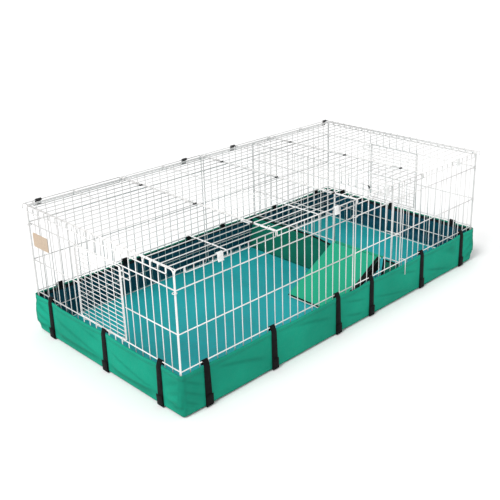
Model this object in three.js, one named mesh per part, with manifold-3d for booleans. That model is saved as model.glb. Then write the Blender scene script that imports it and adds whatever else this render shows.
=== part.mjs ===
// Wire rabbit cage: welded wire walls standing in a canvas tray, a hinged wire lid in four sections,
// a ramp door in each end, and a divider with a covered ramp down to the tray floor.
// Millimetres, +Z up, X along the long side, Y across. The origin is on the ground under the middle.

import * as THREE from 'three';
import { mergeGeometries, mergeVertices } from 'three/addons/utils/BufferGeometryUtils.js';
import Module from 'manifold-3d';

const wasm = await Module();
wasm.setup();

// ---------------------------------------------------------------- driving dimensions

const WALL_LENGTH = 1197; // over the wire walls, along X
const WALL_WIDTH = 613; // over the wire walls, along Y
const WALL_HEIGHT = 361.7; // wire walls, foot to top
const WIRE = 3; // section of every wire
const WALL_PITCH = 27.1; // between upright wires, nearest whole number of gaps
const CORNER_BEND = 10; // outside radius where a frame wire turns its top corner
const BEND_STEPS = 3; // flats to a bend
const GRID_STEPS = 1000; // grid steps to a millimetre, for cuts and joins
const PANEL_GAP = 6; // between the two panels of a long wall

const CANVAS_HEIGHT = 110; // tray, ground to hem
const CANVAS_THICKNESS = 2.5;
const CANVAS_CORNER = 4; // inside corner radius of the tray
const RAIL_OVER_HEM = 8; // centre of the strap rail above the hem
const LINTEL_DROP = 49.5; // centre of the upper rail below the wall top

const STRAP_WIDTH = 20;
const STRAP_THICKNESS = 1.4;
const STRAP_TAIL = 22; // length of the turned-over end inside the wall
const STRAP_FOOT = 3; // lowest edge above the ground
const STRAP_FROM_MIDDLE = 72; // long side: first strap from the panel joint
const STRAP_FROM_CORNER = 58; // long side: last strap from the corner
const STRAP_END_SPREAD = 236; // end: outer straps from the middle

const DOORWAY_WIDTH = 192; // nearest whole number of wall gaps
const DOORWAY_CENTRE = -13.7; // left end; the right end is the same panel turned round
const DOOR_RUNG_PITCH = 12.1;

const LATCH_REACH = 35;
const LATCH_HEIGHT = 18;
const LATCH_WIRE = 2.6;
const LATCH_DROP = 15; // its centre below the top wire of the door

const LID_OVERHANG = 7; // lid edge wires outside the long walls
const LID_END_OVERHANG = 8; // lid edge wires outside the end walls
const LID_PITCH = 26; // between the long wires, nearest whole number of gaps
const LID_LIP_DROP = 13.5; // lip wire below the lid wires
const LID_HINGE_GAP = 1.6; // between the edge wires of two sections

const HOOK_LENGTH = 35;
const HOOK_WIDTH = 12;
const HOOK_WIRE = 2.6;
const HOOK_FROM_HINGE = 4;
const HOOK_STATIONS = [-225, -15, 215];

const CLIP_WIDTH = 18;
const CLIP_THICKNESS = 1.6;
const CLIP_FROM_POST = 24;
const CLIP_BACK_FROM_LEFT_END = 47;
const CLIP_BACK_FROM_RIGHT_END = 20;
const CLIP_BACK_FROM_POST = 13;
const CLIP_FRONT_FROM_MIDDLE = 84;
const CLIP_BACK_FROM_MIDDLE = 64;

const DIVIDER_X = 213;
const SILL_HEIGHT = 115;
const DIVIDER_LINTEL_DROP = 56.5;
const DIVIDER_DOORWAY_INSET = 54.7; // from the front edge wire of the divider
const SKIRT_LEAN = 21; // how far the skirt's foot stands out from its top
const SKIRT_THICKNESS = 2;

const RAMP_LENGTH = 231.5; // sill wire to foot wire
const RAMP_RUNG_PITCH = 24;
const RAMP_SIDE_CLEARANCE = 4.5; // each side, to the doorway wires
const COVER_THICKNESS = 2.5;

const PLATE_WIDTH = 72;
const PLATE_HEIGHT = 39;
const PLATE_THICKNESS = 1.2;
const PLATE_CORNER = 4;
const PLATE_FROM_BACK = 21;
const PLATE_FROM_TOP = 71;

// clearances
const TOUCH = 0.3; // between faces that meet
const CANVAS_CLEARANCE = 1.5; // wire walls to canvas
const STRAP_CLEARANCE = 0.4;
const DOOR_CLEARANCE = 1; // door to the end wall behind it
const DOOR_OVER_STRAP = 1.2;
const LATCH_CLEARANCE = 1.3;
const CLIP_CLEARANCE = 0.5;
const RAMP_TO_DIVIDER = 1.5; // cover to divider when the ramp is folded up

// ---------------------------------------------------------------- derived places

const HALF_WIRE = WIRE / 2;
const END_PLANE = WALL_LENGTH / 2 - HALF_WIRE;
const SIDE_PLANE = WALL_WIDTH / 2 - HALF_WIRE;
const WALL_FOOT = CANVAS_THICKNESS + TOUCH;
const WALL_TOP = WALL_FOOT + WALL_HEIGHT;
const FOOT_RAIL = WALL_FOOT + HALF_WIRE;
const STRAP_RAIL = CANVAS_HEIGHT + RAIL_OVER_HEM;
const LINTEL_RAIL = WALL_TOP - LINTEL_DROP;
const TOP_RAIL = WALL_TOP - HALF_WIRE;
const END_SPAN = SIDE_PLANE - WIRE - TOUCH; // outermost upright of an end wall or divider
const CANVAS_INNER = HALF_WIRE + CANVAS_CLEARANCE; // outward from a wall plane
const CANVAS_OUTER = CANVAS_INNER + CANVAS_THICKNESS;
const STRAP_TOP = STRAP_RAIL + HALF_WIRE + STRAP_CLEARANCE + STRAP_THICKNESS;
const DOOR_OUT = WIRE + DOOR_CLEARANCE; // door plane outward from the end wall plane
const DOOR_FOOT = STRAP_TOP + DOOR_OVER_STRAP + HALF_WIRE;
const LID_PLANE = WALL_TOP + TOUCH + HALF_WIRE;
const LID_SIDE = SIDE_PLANE + LID_OVERHANG;
const LID_END = END_PLANE + LID_END_OVERHANG;
const LID_FOLD = END_PLANE / 2; // hinge lines at minus this, 0 and plus this
const HINGE_HALF = HALF_WIRE + LID_HINGE_GAP / 2;
const RAMP_PIVOT_X = DIVIDER_X - HALF_WIRE - RAMP_TO_DIVIDER - COVER_THICKNESS - TOUCH - HALF_WIRE;

// ---------------------------------------------------------------- finishes

function finish(color, roughness, metalness = 0) {
  return new THREE.MeshStandardMaterial({ color, roughness, metalness });
}

const finishes = {
  wire: () => finish(0xe9ecea, 0.38, 0.1),
  canvas: () => finish(0x20967a, 0.72),
  cover: () => finish(0x34b28c, 0.75),
  skirt: () => finish(0x1b5f52, 0.78),
  webbing: () => finish(0x17181a, 0.85),
  whiteClip: () => finish(0xf2f3f1, 0.35),
  blackClip: () => finish(0x1b1c1e, 0.45),
  plate: () => finish(0xc8b183, 0.5, 0.2),
};

// ---------------------------------------------------------------- shape helpers

// Even stations from first to last, as near to the wanted pitch as a whole number of gaps allows.
function evenBars(first, last, pitch) {
  const gaps = Math.max(1, Math.round((last - first) / pitch));
  return Array.from({ length: gaps + 1 }, (_, i) => first + ((last - first) * i) / gaps);
}

function nearest(values, wanted) {
  return values.reduce((best, v) => (Math.abs(v - wanted) < Math.abs(best - wanted) ? v : best));
}

// Middle of the gap between two neighbouring bars that lies nearest to the wanted place.
function nearestGap(bars, wanted) {
  return nearest(bars.slice(1).map((bar, i) => (bar + bars[i]) / 2), wanted);
}

// A rectangle whose two upper corners may each be rounded.
function rectangleShape(left, right, bottom, top, leftRadius = 0, rightRadius = 0) {
  const shape = new THREE.Shape();
  shape.moveTo(left, bottom);
  shape.lineTo(right, bottom);
  if (rightRadius > 0) {
    shape.absarc(right - rightRadius, top - rightRadius, rightRadius, 0, Math.PI / 2, false);
  } else {
    shape.lineTo(right, top);
  }
  if (leftRadius > 0) {
    shape.absarc(left + leftRadius, top - leftRadius, leftRadius, Math.PI / 2, Math.PI, false);
  } else {
    shape.lineTo(left, top);
  }
  return shape;
}

function plateGeometry(shape, thickness) {
  const options = { depth: thickness, bevelEnabled: false, curveSegments: BEND_STEPS };
  return new THREE.ExtrudeGeometry(shape, options).translate(0, 0, -thickness / 2);
}

// A flat welded panel: uprights at the stations across, rails at the stations up.
// The doorway, if there is one, runs between four of those wires. A bent corner is one wire.
// The panel is cut from a plate, window by window, so that its wires are one welded body.
function latticeGeometry({ across, up, doorway = null, bends = { left: false, right: false } }) {
  const lastAcross = across.length - 1;
  const lastUp = up.length - 1;
  const leftBend = bends.left ? CORNER_BEND : 0;
  const rightBend = bends.right ? CORNER_BEND : 0;
  const outline = rectangleShape(
    across[0] - HALF_WIRE,
    across[lastAcross] + HALF_WIRE,
    up[0] - HALF_WIRE,
    up[lastUp] + HALF_WIRE,
    leftBend,
    rightBend,
  );
  const window = (left, right, bottom, top, leftRadius, rightRadius) =>
    plateGeometry(
      rectangleShape(
        left + HALF_WIRE,
        right - HALF_WIRE,
        bottom + HALF_WIRE,
        top - HALF_WIRE,
        leftRadius,
        rightRadius,
      ),
      3 * WIRE,
    );
  const inDoorway = (u, v) =>
    doorway !== null && u > doorway.left && u < doorway.right && v > doorway.bottom && v < doorway.top;
  const windows = [];
  for (let j = 0; j < lastUp; j += 1) {
    for (let i = 0; i < lastAcross; i += 1) {
      if (inDoorway((across[i] + across[i + 1]) / 2, (up[j] + up[j + 1]) / 2)) {
        continue;
      }
      const topRow = j === lastUp - 1;
      const leftRadius = topRow && i === 0 ? Math.max(0, leftBend - WIRE) : 0;
      const rightRadius = topRow && i === lastAcross - 1 ? Math.max(0, rightBend - WIRE) : 0;
      windows.push(window(across[i], across[i + 1], up[j], up[j + 1], leftRadius, rightRadius));
    }
  }
  if (doorway !== null) {
    windows.push(window(doorway.left, doorway.right, doorway.bottom, doorway.top, 0, 0));
  }
  return toGeometry(toSolid(plateGeometry(outline, WIRE)).subtract(toSolid(mergeGeometries(windows))));
}

// A flat loop of wire with a round end at +u: two legs from u = 0, joined by the bend and a back wire.
function loopGeometry(reach, height, wire) {
  const outline = (inset) => {
    const half = height / 2 - inset;
    const shape = new THREE.Shape();
    shape.moveTo(inset, -half);
    shape.lineTo(reach - height / 2, -half);
    shape.absarc(reach - height / 2, 0, half, -Math.PI / 2, Math.PI / 2, false);
    shape.lineTo(inset, half);
    return shape;
  };
  const plate = toSolid(plateGeometry(outline(0), WIRE));
  return toGeometry(plate.subtract(toSolid(plateGeometry(outline(wire), 3 * WIRE))));
}

function boxGeometry(min, max) {
  const size = max.map((value, axis) => value - min[axis]);
  const centre = max.map((value, axis) => (value + min[axis]) / 2);
  return new THREE.BoxGeometry(...size).translate(...centre);
}

// Corners are put on a fine grid first, so that faces meant to be flush are exactly so when joined.
function toSolid(geometry) {
  const bare = geometry.clone();
  bare.deleteAttribute('normal');
  bare.deleteAttribute('uv');
  const corners = bare.attributes.position.array;
  corners.forEach((value, i) => {
    corners[i] = Math.round(value * GRID_STEPS) / GRID_STEPS;
  });
  const merged = mergeVertices(bare, 1e-4);
  return new wasm.Manifold(
    new wasm.Mesh({
      numProp: 3,
      vertProperties: new Float32Array(merged.attributes.position.array),
      triVerts: new Uint32Array(merged.index.array),
    }),
  );
}

function toGeometry(solid) {
  const mesh = solid.getMesh();
  const geometry = new THREE.BufferGeometry();
  geometry.setAttribute('position', new THREE.BufferAttribute(mesh.vertProperties, 3));
  geometry.setIndex(new THREE.BufferAttribute(mesh.triVerts, 1));
  return geometry;
}

function joinGeometries(geometries) {
  return toGeometry(geometries.map(toSolid).reduce((whole, next) => whole.add(next)));
}

// ---------------------------------------------------------------- placing

// Each plane turns a flat shape (u across, v up) out of the XY plane into the cage.
const PLANES = {
  side: new THREE.Matrix4().makeBasis(
    new THREE.Vector3(1, 0, 0),
    new THREE.Vector3(0, 0, 1),
    new THREE.Vector3(0, -1, 0),
  ),
  end: new THREE.Matrix4().makeBasis(
    new THREE.Vector3(0, 1, 0),
    new THREE.Vector3(0, 0, 1),
    new THREE.Vector3(1, 0, 0),
  ),
  flat: new THREE.Matrix4(),
};

const cage = new THREE.Group();

function addPart(name, geometry, material, { plane = 'flat', at = [0, 0, 0], turn = 0, to = cage } = {}) {
  const mesh = new THREE.Mesh(geometry, material);
  mesh.name = name;
  mesh.quaternion.setFromRotationMatrix(PLANES[plane]);
  const holder = new THREE.Group();
  holder.rotation.z = turn;
  mesh.position.set(...at);
  holder.add(mesh);
  to.add(holder);
  return mesh;
}

// ---------------------------------------------------------------- canvas tray

function buildTray() {
  const ring = (grow, radius) => {
    const halfX = END_PLANE + grow;
    const halfY = SIDE_PLANE + grow;
    const shape = new THREE.Shape();
    shape.absarc(halfX - radius, -halfY + radius, radius, -Math.PI / 2, 0, false);
    shape.absarc(halfX - radius, halfY - radius, radius, 0, Math.PI / 2, false);
    shape.absarc(-halfX + radius, halfY - radius, radius, Math.PI / 2, Math.PI, false);
    shape.absarc(-halfX + radius, -halfY + radius, radius, Math.PI, Math.PI * 1.5, false);
    return shape;
  };
  const options = { depth: CANVAS_HEIGHT, bevelEnabled: false, curveSegments: BEND_STEPS };
  const outside = new THREE.ExtrudeGeometry(ring(CANVAS_OUTER, CANVAS_CORNER + CANVAS_THICKNESS), options);
  const inside = new THREE.ExtrudeGeometry(ring(CANVAS_INNER, CANVAS_CORNER), options);
  inside.translate(0, 0, CANVAS_THICKNESS);
  addPart('canvas_tray', toGeometry(toSolid(outside).subtract(toSolid(inside))), finishes.canvas());
}

// A strap: sewn to the canvas outside, over the rail between two uprights, and turned down inside.
// Its section is drawn with u outward from the wall plane and v up.
function strapGeometry() {
  const legInner = CANVAS_OUTER + STRAP_CLEARANCE;
  const legOuter = legInner + STRAP_THICKNESS;
  const overInner = HALF_WIRE + STRAP_CLEARANCE;
  const overOuter = overInner + STRAP_THICKNESS;
  const shape = new THREE.Shape();
  shape.moveTo(legInner, STRAP_FOOT);
  shape.lineTo(legOuter, STRAP_FOOT);
  shape.lineTo(legOuter, CANVAS_HEIGHT + STRAP_CLEARANCE + STRAP_THICKNESS / 3);
  shape.lineTo(overInner + STRAP_THICKNESS / 2, STRAP_TOP);
  shape.lineTo(-overOuter, STRAP_TOP);
  shape.lineTo(-overOuter, STRAP_TOP - STRAP_TAIL);
  shape.lineTo(-overInner, STRAP_TOP - STRAP_TAIL);
  shape.lineTo(-overInner, STRAP_TOP - STRAP_THICKNESS);
  shape.lineTo(overInner, STRAP_TOP - STRAP_THICKNESS);
  shape.lineTo(legInner, CANVAS_HEIGHT + STRAP_CLEARANCE);
  return plateGeometry(shape, STRAP_WIDTH);
}

// The section's u axis points outward: along -Y at the front, and turned to match on the other sides.
function addStrap(name, side, along) {
  const turns = { front: 0, right: Math.PI / 2, back: Math.PI, left: -Math.PI / 2 };
  const out = side === 'front' || side === 'back' ? SIDE_PLANE : END_PLANE;
  const mesh = new THREE.Mesh(strapGeometry(), finishes.webbing());
  mesh.name = name;
  mesh.quaternion.setFromRotationMatrix(
    new THREE.Matrix4().makeBasis(
      new THREE.Vector3(0, -1, 0),
      new THREE.Vector3(0, 0, 1),
      new THREE.Vector3(-1, 0, 0),
    ),
  );
  mesh.position.set(along, -out, 0);
  const holder = new THREE.Group();
  holder.rotation.z = turns[side];
  holder.add(mesh);
  cage.add(holder);
}

function buildStraps(sideBars, endBars) {
  const far = END_PLANE - STRAP_FROM_CORNER;
  const stations = [STRAP_FROM_MIDDLE, (STRAP_FROM_MIDDLE + far) / 2, far];
  const half = stations.map((station) => nearestGap(sideBars, station));
  const sidePlaces = [...half.map((place) => -place).reverse(), ...half];
  sidePlaces.forEach((place, i) => {
    addStrap(`strap_front_${i + 1}`, 'front', place);
    addStrap(`strap_back_${i + 1}`, 'back', place);
  });
  const endPlaces = [-STRAP_END_SPREAD, 0, STRAP_END_SPREAD].map((station) => nearestGap(endBars, station));
  endPlaces.forEach((place, i) => {
    addStrap(`strap_left_${i + 1}`, 'left', place);
    addStrap(`strap_right_${i + 1}`, 'right', place);
  });
}

// ---------------------------------------------------------------- wire walls and doors

function buildLongWalls(sideBars) {
  const up = [FOOT_RAIL, STRAP_RAIL, LINTEL_RAIL, TOP_RAIL];
  const leftBars = sideBars.map((bar) => -bar).reverse();
  for (const [side, y] of [['front', -SIDE_PLANE], ['back', SIDE_PLANE]]) {
    const left = latticeGeometry({ across: leftBars, up, bends: { left: true, right: false } });
    const right = latticeGeometry({ across: sideBars, up, bends: { left: false, right: true } });
    addPart(`wall_${side}_left`, left, finishes.wire(), { plane: 'side', at: [0, y, 0] });
    addPart(`wall_${side}_right`, right, finishes.wire(), { plane: 'side', at: [0, y, 0] });
  }
}

// One end: the wall with its doorway, the ramp door outside it and the door's latch.
// The left end is built in place; the right end is the same set turned half a turn.
function buildEnd(side, endBars, turn) {
  const left = nearest(endBars, DOORWAY_CENTRE - DOORWAY_WIDTH / 2);
  const right = nearest(endBars, DOORWAY_CENTRE + DOORWAY_WIDTH / 2);
  const doorway = { left, right, bottom: STRAP_RAIL, top: LINTEL_RAIL };
  const wall = latticeGeometry({
    across: endBars,
    up: [FOOT_RAIL, STRAP_RAIL, LINTEL_RAIL, TOP_RAIL],
    doorway,
    bends: { left: true, right: true },
  });
  addPart(`wall_end_${side}`, wall, finishes.wire(), { plane: 'end', at: [-END_PLANE, 0, 0], turn });

  const doorPlane = -END_PLANE - DOOR_OUT;
  const doorTop = LINTEL_RAIL - HALF_WIRE;
  const door = latticeGeometry({
    across: [left, (left + right) / 2, right],
    up: evenBars(DOOR_FOOT, doorTop, DOOR_RUNG_PITCH),
  });
  addPart(`door_${side}`, door, finishes.wire(), { plane: 'end', at: [doorPlane, 0, 0], turn });

  const latch = loopGeometry(LATCH_REACH, LATCH_HEIGHT, LATCH_WIRE).rotateZ(Math.PI);
  const latchAt = [doorPlane, left - HALF_WIRE - LATCH_CLEARANCE, doorTop - LATCH_DROP];
  addPart(`door_latch_${side}`, latch, finishes.wire(), { plane: 'end', at: latchAt, turn });
}

function buildPlate() {
  const back = SIDE_PLANE + HALF_WIRE - PLATE_FROM_BACK;
  const top = WALL_TOP - PLATE_FROM_TOP;
  const shape = rectangleShape(back - PLATE_WIDTH, back, top - PLATE_HEIGHT, top, PLATE_CORNER, PLATE_CORNER);
  const x = -END_PLANE - HALF_WIRE - TOUCH - PLATE_THICKNESS / 2;
  addPart('plate_blank', plateGeometry(shape, PLATE_THICKNESS), finishes.plate(), { plane: 'end', at: [x, 0, 0] });
}

// ---------------------------------------------------------------- lid

// The lip of an outer section: a wire hung outside the walls on three sides of the section, on posts
// under the long wires at the end, and under the edge wires and the middle at the sides.
function lidLipGeometry(end, hinge) {
  const bottom = -LID_LIP_DROP - HALF_WIRE;
  const top = -HALF_WIRE - TOUCH;
  const bar = (x0, x1, y0, y1, z1) =>
    boxGeometry([x0 - HALF_WIRE, y0 - HALF_WIRE, bottom], [x1 + HALF_WIRE, y1 + HALF_WIRE, z1]);
  const lipTop = bottom + WIRE;
  const pieces = [bar(end, end, -LID_SIDE, LID_SIDE, lipTop)];
  for (const y of [-LID_SIDE, LID_SIDE]) {
    pieces.push(bar(end, hinge, y, y, lipTop));
    pieces.push(...[(end + hinge) / 2, hinge].map((x) => bar(x, x, y, y, top)));
  }
  pieces.push(...evenBars(-LID_SIDE, LID_SIDE, LID_PITCH).map((y) => bar(end, end, y, y, top)));
  return joinGeometries(pieces);
}

// The sections of the right half are those of the left half turned half a turn.
function buildLid() {
  const longWires = evenBars(-LID_SIDE, LID_SIDE, LID_PITCH);
  const outer = latticeGeometry({ across: [-LID_END, -LID_FOLD - HINGE_HALF], up: longWires });
  const inner = latticeGeometry({ across: [-LID_FOLD + HINGE_HALF, -HINGE_HALF], up: longWires });
  const lip = lidLipGeometry(-LID_END, -LID_FOLD - HINGE_HALF);
  for (const [side, turn] of [['left', 0], ['right', Math.PI]]) {
    addPart(`lid_outer_${side}`, outer, finishes.wire(), { at: [0, 0, LID_PLANE], turn });
    addPart(`lid_inner_${side}`, inner, finishes.wire(), { at: [0, 0, LID_PLANE], turn });
    addPart(`lid_lip_${side}`, lip, finishes.wire(), { at: [0, 0, LID_PLANE], turn });
  }
}

// Wire hooks lie flat on the lid beside each hinge line, on the section to its left.
function buildHooks() {
  const lines = [
    ['left', -LID_FOLD],
    ['middle', 0],
    ['right', LID_FOLD],
  ];
  const height = LID_PLANE + WIRE + TOUCH;
  for (const [name, line] of lines) {
    HOOK_STATIONS.forEach((station, i) => {
      const hook = loopGeometry(HOOK_LENGTH, HOOK_WIDTH, HOOK_WIRE).rotateZ(-Math.PI / 2);
      const x = line - HOOK_FROM_HINGE - HOOK_WIDTH / 2;
      addPart(`lid_hook_${name}_${i + 1}`, hook, finishes.wire(), { at: [x, station + HOOK_LENGTH / 2, height] });
    });
  }
}

// A clip hangs on the lid's edge wire and turns on it; its foot closes under the lip wire.
// Section: u outward from the edge wire, v up from it.
function clipGeometry() {
  const eye = HALF_WIRE * Math.SQRT2 + CLIP_CLEARANCE;
  const rim = eye + CLIP_THICKNESS;
  const footTop = -LID_LIP_DROP - HALF_WIRE - 2 * CLIP_CLEARANCE;
  const footBottom = footTop - CLIP_THICKNESS;
  const jaw = Math.PI * 0.8;
  const shape = new THREE.Shape();
  shape.moveTo(eye, footTop);
  shape.lineTo(eye, 0);
  shape.absarc(0, 0, eye, 0, jaw, false);
  shape.absarc(0, 0, rim, jaw, 0, true);
  shape.lineTo(rim, footBottom);
  shape.lineTo(-HALF_WIRE, footBottom);
  shape.lineTo(-HALF_WIRE, footTop);
  return plateGeometry(shape, CLIP_WIDTH);
}

function addClip(name, side, x, material) {
  const front = side === 'front';
  const mesh = new THREE.Mesh(clipGeometry(), material);
  mesh.name = name;
  mesh.quaternion.setFromRotationMatrix(
    new THREE.Matrix4().makeBasis(
      new THREE.Vector3(0, front ? -1 : 1, 0),
      new THREE.Vector3(0, 0, 1),
      new THREE.Vector3(front ? -1 : 1, 0, 0),
    ),
  );
  mesh.position.set(x, front ? -LID_SIDE : LID_SIDE, LID_PLANE);
  cage.add(mesh);
}

function buildClips() {
  const outerPost = (LID_END + LID_FOLD + HINGE_HALF) / 2;
  const innerPost = LID_FOLD / 2;
  const frontPlaces = [
    -outerPost - CLIP_FROM_POST,
    -CLIP_FRONT_FROM_MIDDLE,
    innerPost - CLIP_FROM_POST,
    outerPost + CLIP_FROM_POST,
  ];
  const backPlaces = [
    -LID_END + CLIP_BACK_FROM_LEFT_END,
    -CLIP_BACK_FROM_MIDDLE,
    innerPost - CLIP_BACK_FROM_POST,
    LID_END - CLIP_BACK_FROM_RIGHT_END,
  ];
  frontPlaces.forEach((x, i) => addClip(`clip_front_${i + 1}`, 'front', x, finishes.whiteClip()));
  backPlaces.forEach((x, i) => addClip(`clip_back_${i + 1}`, 'back', x, finishes.blackClip()));
}

// ---------------------------------------------------------------- divider and ramp

function buildDivider(endBars) {
  const left = nearest(endBars, endBars[0] + DIVIDER_DOORWAY_INSET);
  const right = nearest(endBars, left + DOORWAY_WIDTH);
  const lintel = WALL_TOP - DIVIDER_LINTEL_DROP;
  const panel = latticeGeometry({
    across: endBars,
    up: [FOOT_RAIL, SILL_HEIGHT, lintel, TOP_RAIL],
    doorway: { left, right, bottom: SILL_HEIGHT, top: lintel },
    bends: { left: true, right: true },
  });
  addPart('divider_panel', panel, finishes.wire(), { plane: 'end', at: [DIVIDER_X, 0, 0] });

  const latch = loopGeometry(LATCH_REACH, LATCH_HEIGHT, LATCH_WIRE);
  const latchAt = [DIVIDER_X + WIRE + TOUCH, (left + right) / 2 - LATCH_REACH, lintel + LATCH_HEIGHT / 3];
  addPart('divider_latch', latch, finishes.wire(), { plane: 'end', at: latchAt });

  buildSkirt('skirt_long', right + HALF_WIRE, END_SPAN);
  buildSkirt('skirt_short', -END_SPAN, left - HALF_WIRE);
  return { left, right };
}

// A canvas skirt along the divider's foot, leaning out towards the floor it is laid on.
function buildSkirt(name, from, to) {
  const top = DIVIDER_X - HALF_WIRE - RAMP_TO_DIVIDER;
  const shape = new THREE.Shape();
  shape.moveTo(top - SKIRT_LEAN - SKIRT_THICKNESS, WALL_FOOT);
  shape.lineTo(top - SKIRT_LEAN, WALL_FOOT);
  shape.lineTo(top, SILL_HEIGHT - WIRE);
  shape.lineTo(top - SKIRT_THICKNESS, SILL_HEIGHT - WIRE);
  const width = to - from;
  addPart(name, plateGeometry(shape, width), finishes.skirt(), { plane: 'side', at: [0, (from + to) / 2, 0] });
}

// The ramp hangs from the sill and stands on the tray floor; its canvas cover lies on the rungs.
function buildRamp({ left, right }) {
  const halfWidth = (right - left) / 2 - RAMP_SIDE_CLEARANCE;
  const footHeight = WALL_FOOT + TOUCH + WIRE;
  const slope = Math.asin((SILL_HEIGHT - footHeight) / RAMP_LENGTH);
  const ramp = new THREE.Group();
  ramp.position.set(RAMP_PIVOT_X, (left + right) / 2, SILL_HEIGHT);
  ramp.quaternion.setFromRotationMatrix(
    new THREE.Matrix4().makeBasis(
      new THREE.Vector3(-Math.cos(slope), 0, -Math.sin(slope)),
      new THREE.Vector3(0, -1, 0),
      new THREE.Vector3(-Math.sin(slope), 0, Math.cos(slope)),
    ),
  );
  const wire = latticeGeometry({
    across: evenBars(0, RAMP_LENGTH, RAMP_RUNG_PITCH),
    up: [-halfWidth + HALF_WIRE, 0, halfWidth - HALF_WIRE],
  });
  const coverLength = RAMP_LENGTH + HALF_WIRE;
  const coverBase = HALF_WIRE + TOUCH;
  const cover = boxGeometry([0, -halfWidth, coverBase], [coverLength, halfWidth, coverBase + COVER_THICKNESS]);
  addPart('ramp_wire', wire, finishes.wire(), { to: ramp });
  addPart('ramp_cover', cover, finishes.cover(), { to: ramp });
  cage.add(ramp);
}

// ---------------------------------------------------------------- assembly

const sideBars = evenBars(PANEL_GAP / 2 + HALF_WIRE, END_PLANE, WALL_PITCH);
const endBars = evenBars(-END_SPAN, END_SPAN, WALL_PITCH);

buildTray();
buildStraps(sideBars, endBars);
buildLongWalls(sideBars);
buildEnd('left', endBars, 0);
buildEnd('right', endBars, Math.PI);
buildPlate();
buildLid();
buildHooks();
buildClips();
buildRamp(buildDivider(endBars));

export default cage;
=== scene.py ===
import logging
import math
from dataclasses import dataclass, field
from enum import Enum
from typing import Callable, Iterable, Sequence

import bmesh
import bpy
from mathutils import Matrix, Vector, noise


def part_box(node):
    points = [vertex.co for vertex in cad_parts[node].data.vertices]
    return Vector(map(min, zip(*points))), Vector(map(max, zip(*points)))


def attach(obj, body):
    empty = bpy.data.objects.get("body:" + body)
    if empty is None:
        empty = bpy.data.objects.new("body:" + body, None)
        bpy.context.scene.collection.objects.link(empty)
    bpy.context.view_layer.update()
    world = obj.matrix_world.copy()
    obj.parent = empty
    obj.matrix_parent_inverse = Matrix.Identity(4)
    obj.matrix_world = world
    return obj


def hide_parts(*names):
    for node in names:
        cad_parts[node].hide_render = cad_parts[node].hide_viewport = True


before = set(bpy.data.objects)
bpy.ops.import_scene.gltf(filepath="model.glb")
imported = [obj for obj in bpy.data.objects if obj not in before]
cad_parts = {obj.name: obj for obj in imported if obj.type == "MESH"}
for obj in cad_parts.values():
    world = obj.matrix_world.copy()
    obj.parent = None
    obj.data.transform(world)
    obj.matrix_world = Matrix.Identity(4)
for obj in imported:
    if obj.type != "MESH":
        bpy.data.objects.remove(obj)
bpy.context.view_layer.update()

MM = 0.001
X_AXIS, Y_AXIS, Z_AXIS = Vector((1, 0, 0)), Vector((0, 1, 0)), Vector((0, 0, 1))
TRIM = 0.8 * MM  # thickness of a binding
LOG = logging.getLogger("cage")


# ---------------------------------------------------------------- node groups and finishes


class NodeTree:
    """A thin wrapper that adds nodes to a tree and links them by socket name."""

    def __init__(self, tree: bpy.types.NodeTree) -> None:
        """Wrap an existing tree.

        Args:
            tree: The material or group tree to work in.
        """
        self.tree = tree

    def add(self, kind: str, inputs: dict | None = None, **settings: object) -> bpy.types.Node:
        """Add a node, set its properties and fill its inputs.

        Args:
            kind: The node's type name.
            inputs: Input name or index to a value, or to an output socket to link.
            **settings: Node properties.

        Returns:
            The new node.
        """
        node = self.tree.nodes.new(kind)
        for key, value in settings.items():
            setattr(node, key, value)
        for key, value in (inputs or {}).items():
            self.feed(node.inputs[key], value)
        return node

    def feed(self, socket: bpy.types.NodeSocket, value: object) -> None:
        """Link a socket from another socket, or set its default value.

        Args:
            socket: The input to fill.
            value: A value, or the output socket to link from.
        """
        if isinstance(value, bpy.types.NodeSocket):
            self.tree.links.new(value, socket)
        else:
            socket.default_value = value

    def math(self, operation: str, *values: object) -> bpy.types.NodeSocket:
        """Add a Math node and return its output.

        Args:
            operation: The node's operation.
            *values: Its inputs, as values or sockets.

        Returns:
            The output socket.
        """
        node = self.add("ShaderNodeMath", operation=operation)
        for socket, value in zip(node.inputs, values):
            self.feed(socket, value)
        return node.outputs[0]

    def remap(
        self, value: object, low: float, high: float, start: float = 0.0, end: float = 1.0
    ) -> bpy.types.NodeSocket:
        """Map low..high to start..end smoothly and return the output.

        Args:
            value: What is mapped.
            low: Where the ramp begins.
            high: Where it ends.
            start: The result at low.
            end: The result at high.

        Returns:
            The output socket.
        """
        inputs = {0: value, 1: low, 2: high, 3: start, 4: end}
        return self.add("ShaderNodeMapRange", inputs, interpolation_type="SMOOTHSTEP").outputs[0]

    def mix(self, factor: object, first: object, second: object) -> bpy.types.NodeSocket:
        """Mix two colours and return the colour output.

        Args:
            factor: Share of the second colour.
            first: The first colour.
            second: The second colour.

        Returns:
            The output socket.
        """
        node = self.add("ShaderNodeMix", data_type="RGBA")
        self.feed(node.inputs[0], factor)
        self.feed(node.inputs[6], first)
        self.feed(node.inputs[7], second)
        return node.outputs[2]

    def noise(self, vector: object, scale: float, detail: float = 3.0) -> bpy.types.NodeSocket:
        """Add a noise texture and return its value.

        Args:
            vector: Where it is read.
            scale: The texture's scale.
            detail: How many finer layers it has.

        Returns:
            The output socket.
        """
        inputs = {"Vector": vector, "Scale": scale, "Detail": detail, "Roughness": 0.55}
        return self.add("ShaderNodeTexNoise", inputs).outputs[0]

    def group(self, tree: bpy.types.NodeTree, inputs: dict) -> bpy.types.Node:
        """Place a shared group with its own values.

        Args:
            tree: The group's tree.
            inputs: Input name to a value or socket.

        Returns:
            The group node.
        """
        node = self.tree.nodes.new("ShaderNodeGroup")
        node.node_tree = tree
        for key, value in inputs.items():
            self.feed(node.inputs[key], value)
        return node


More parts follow.
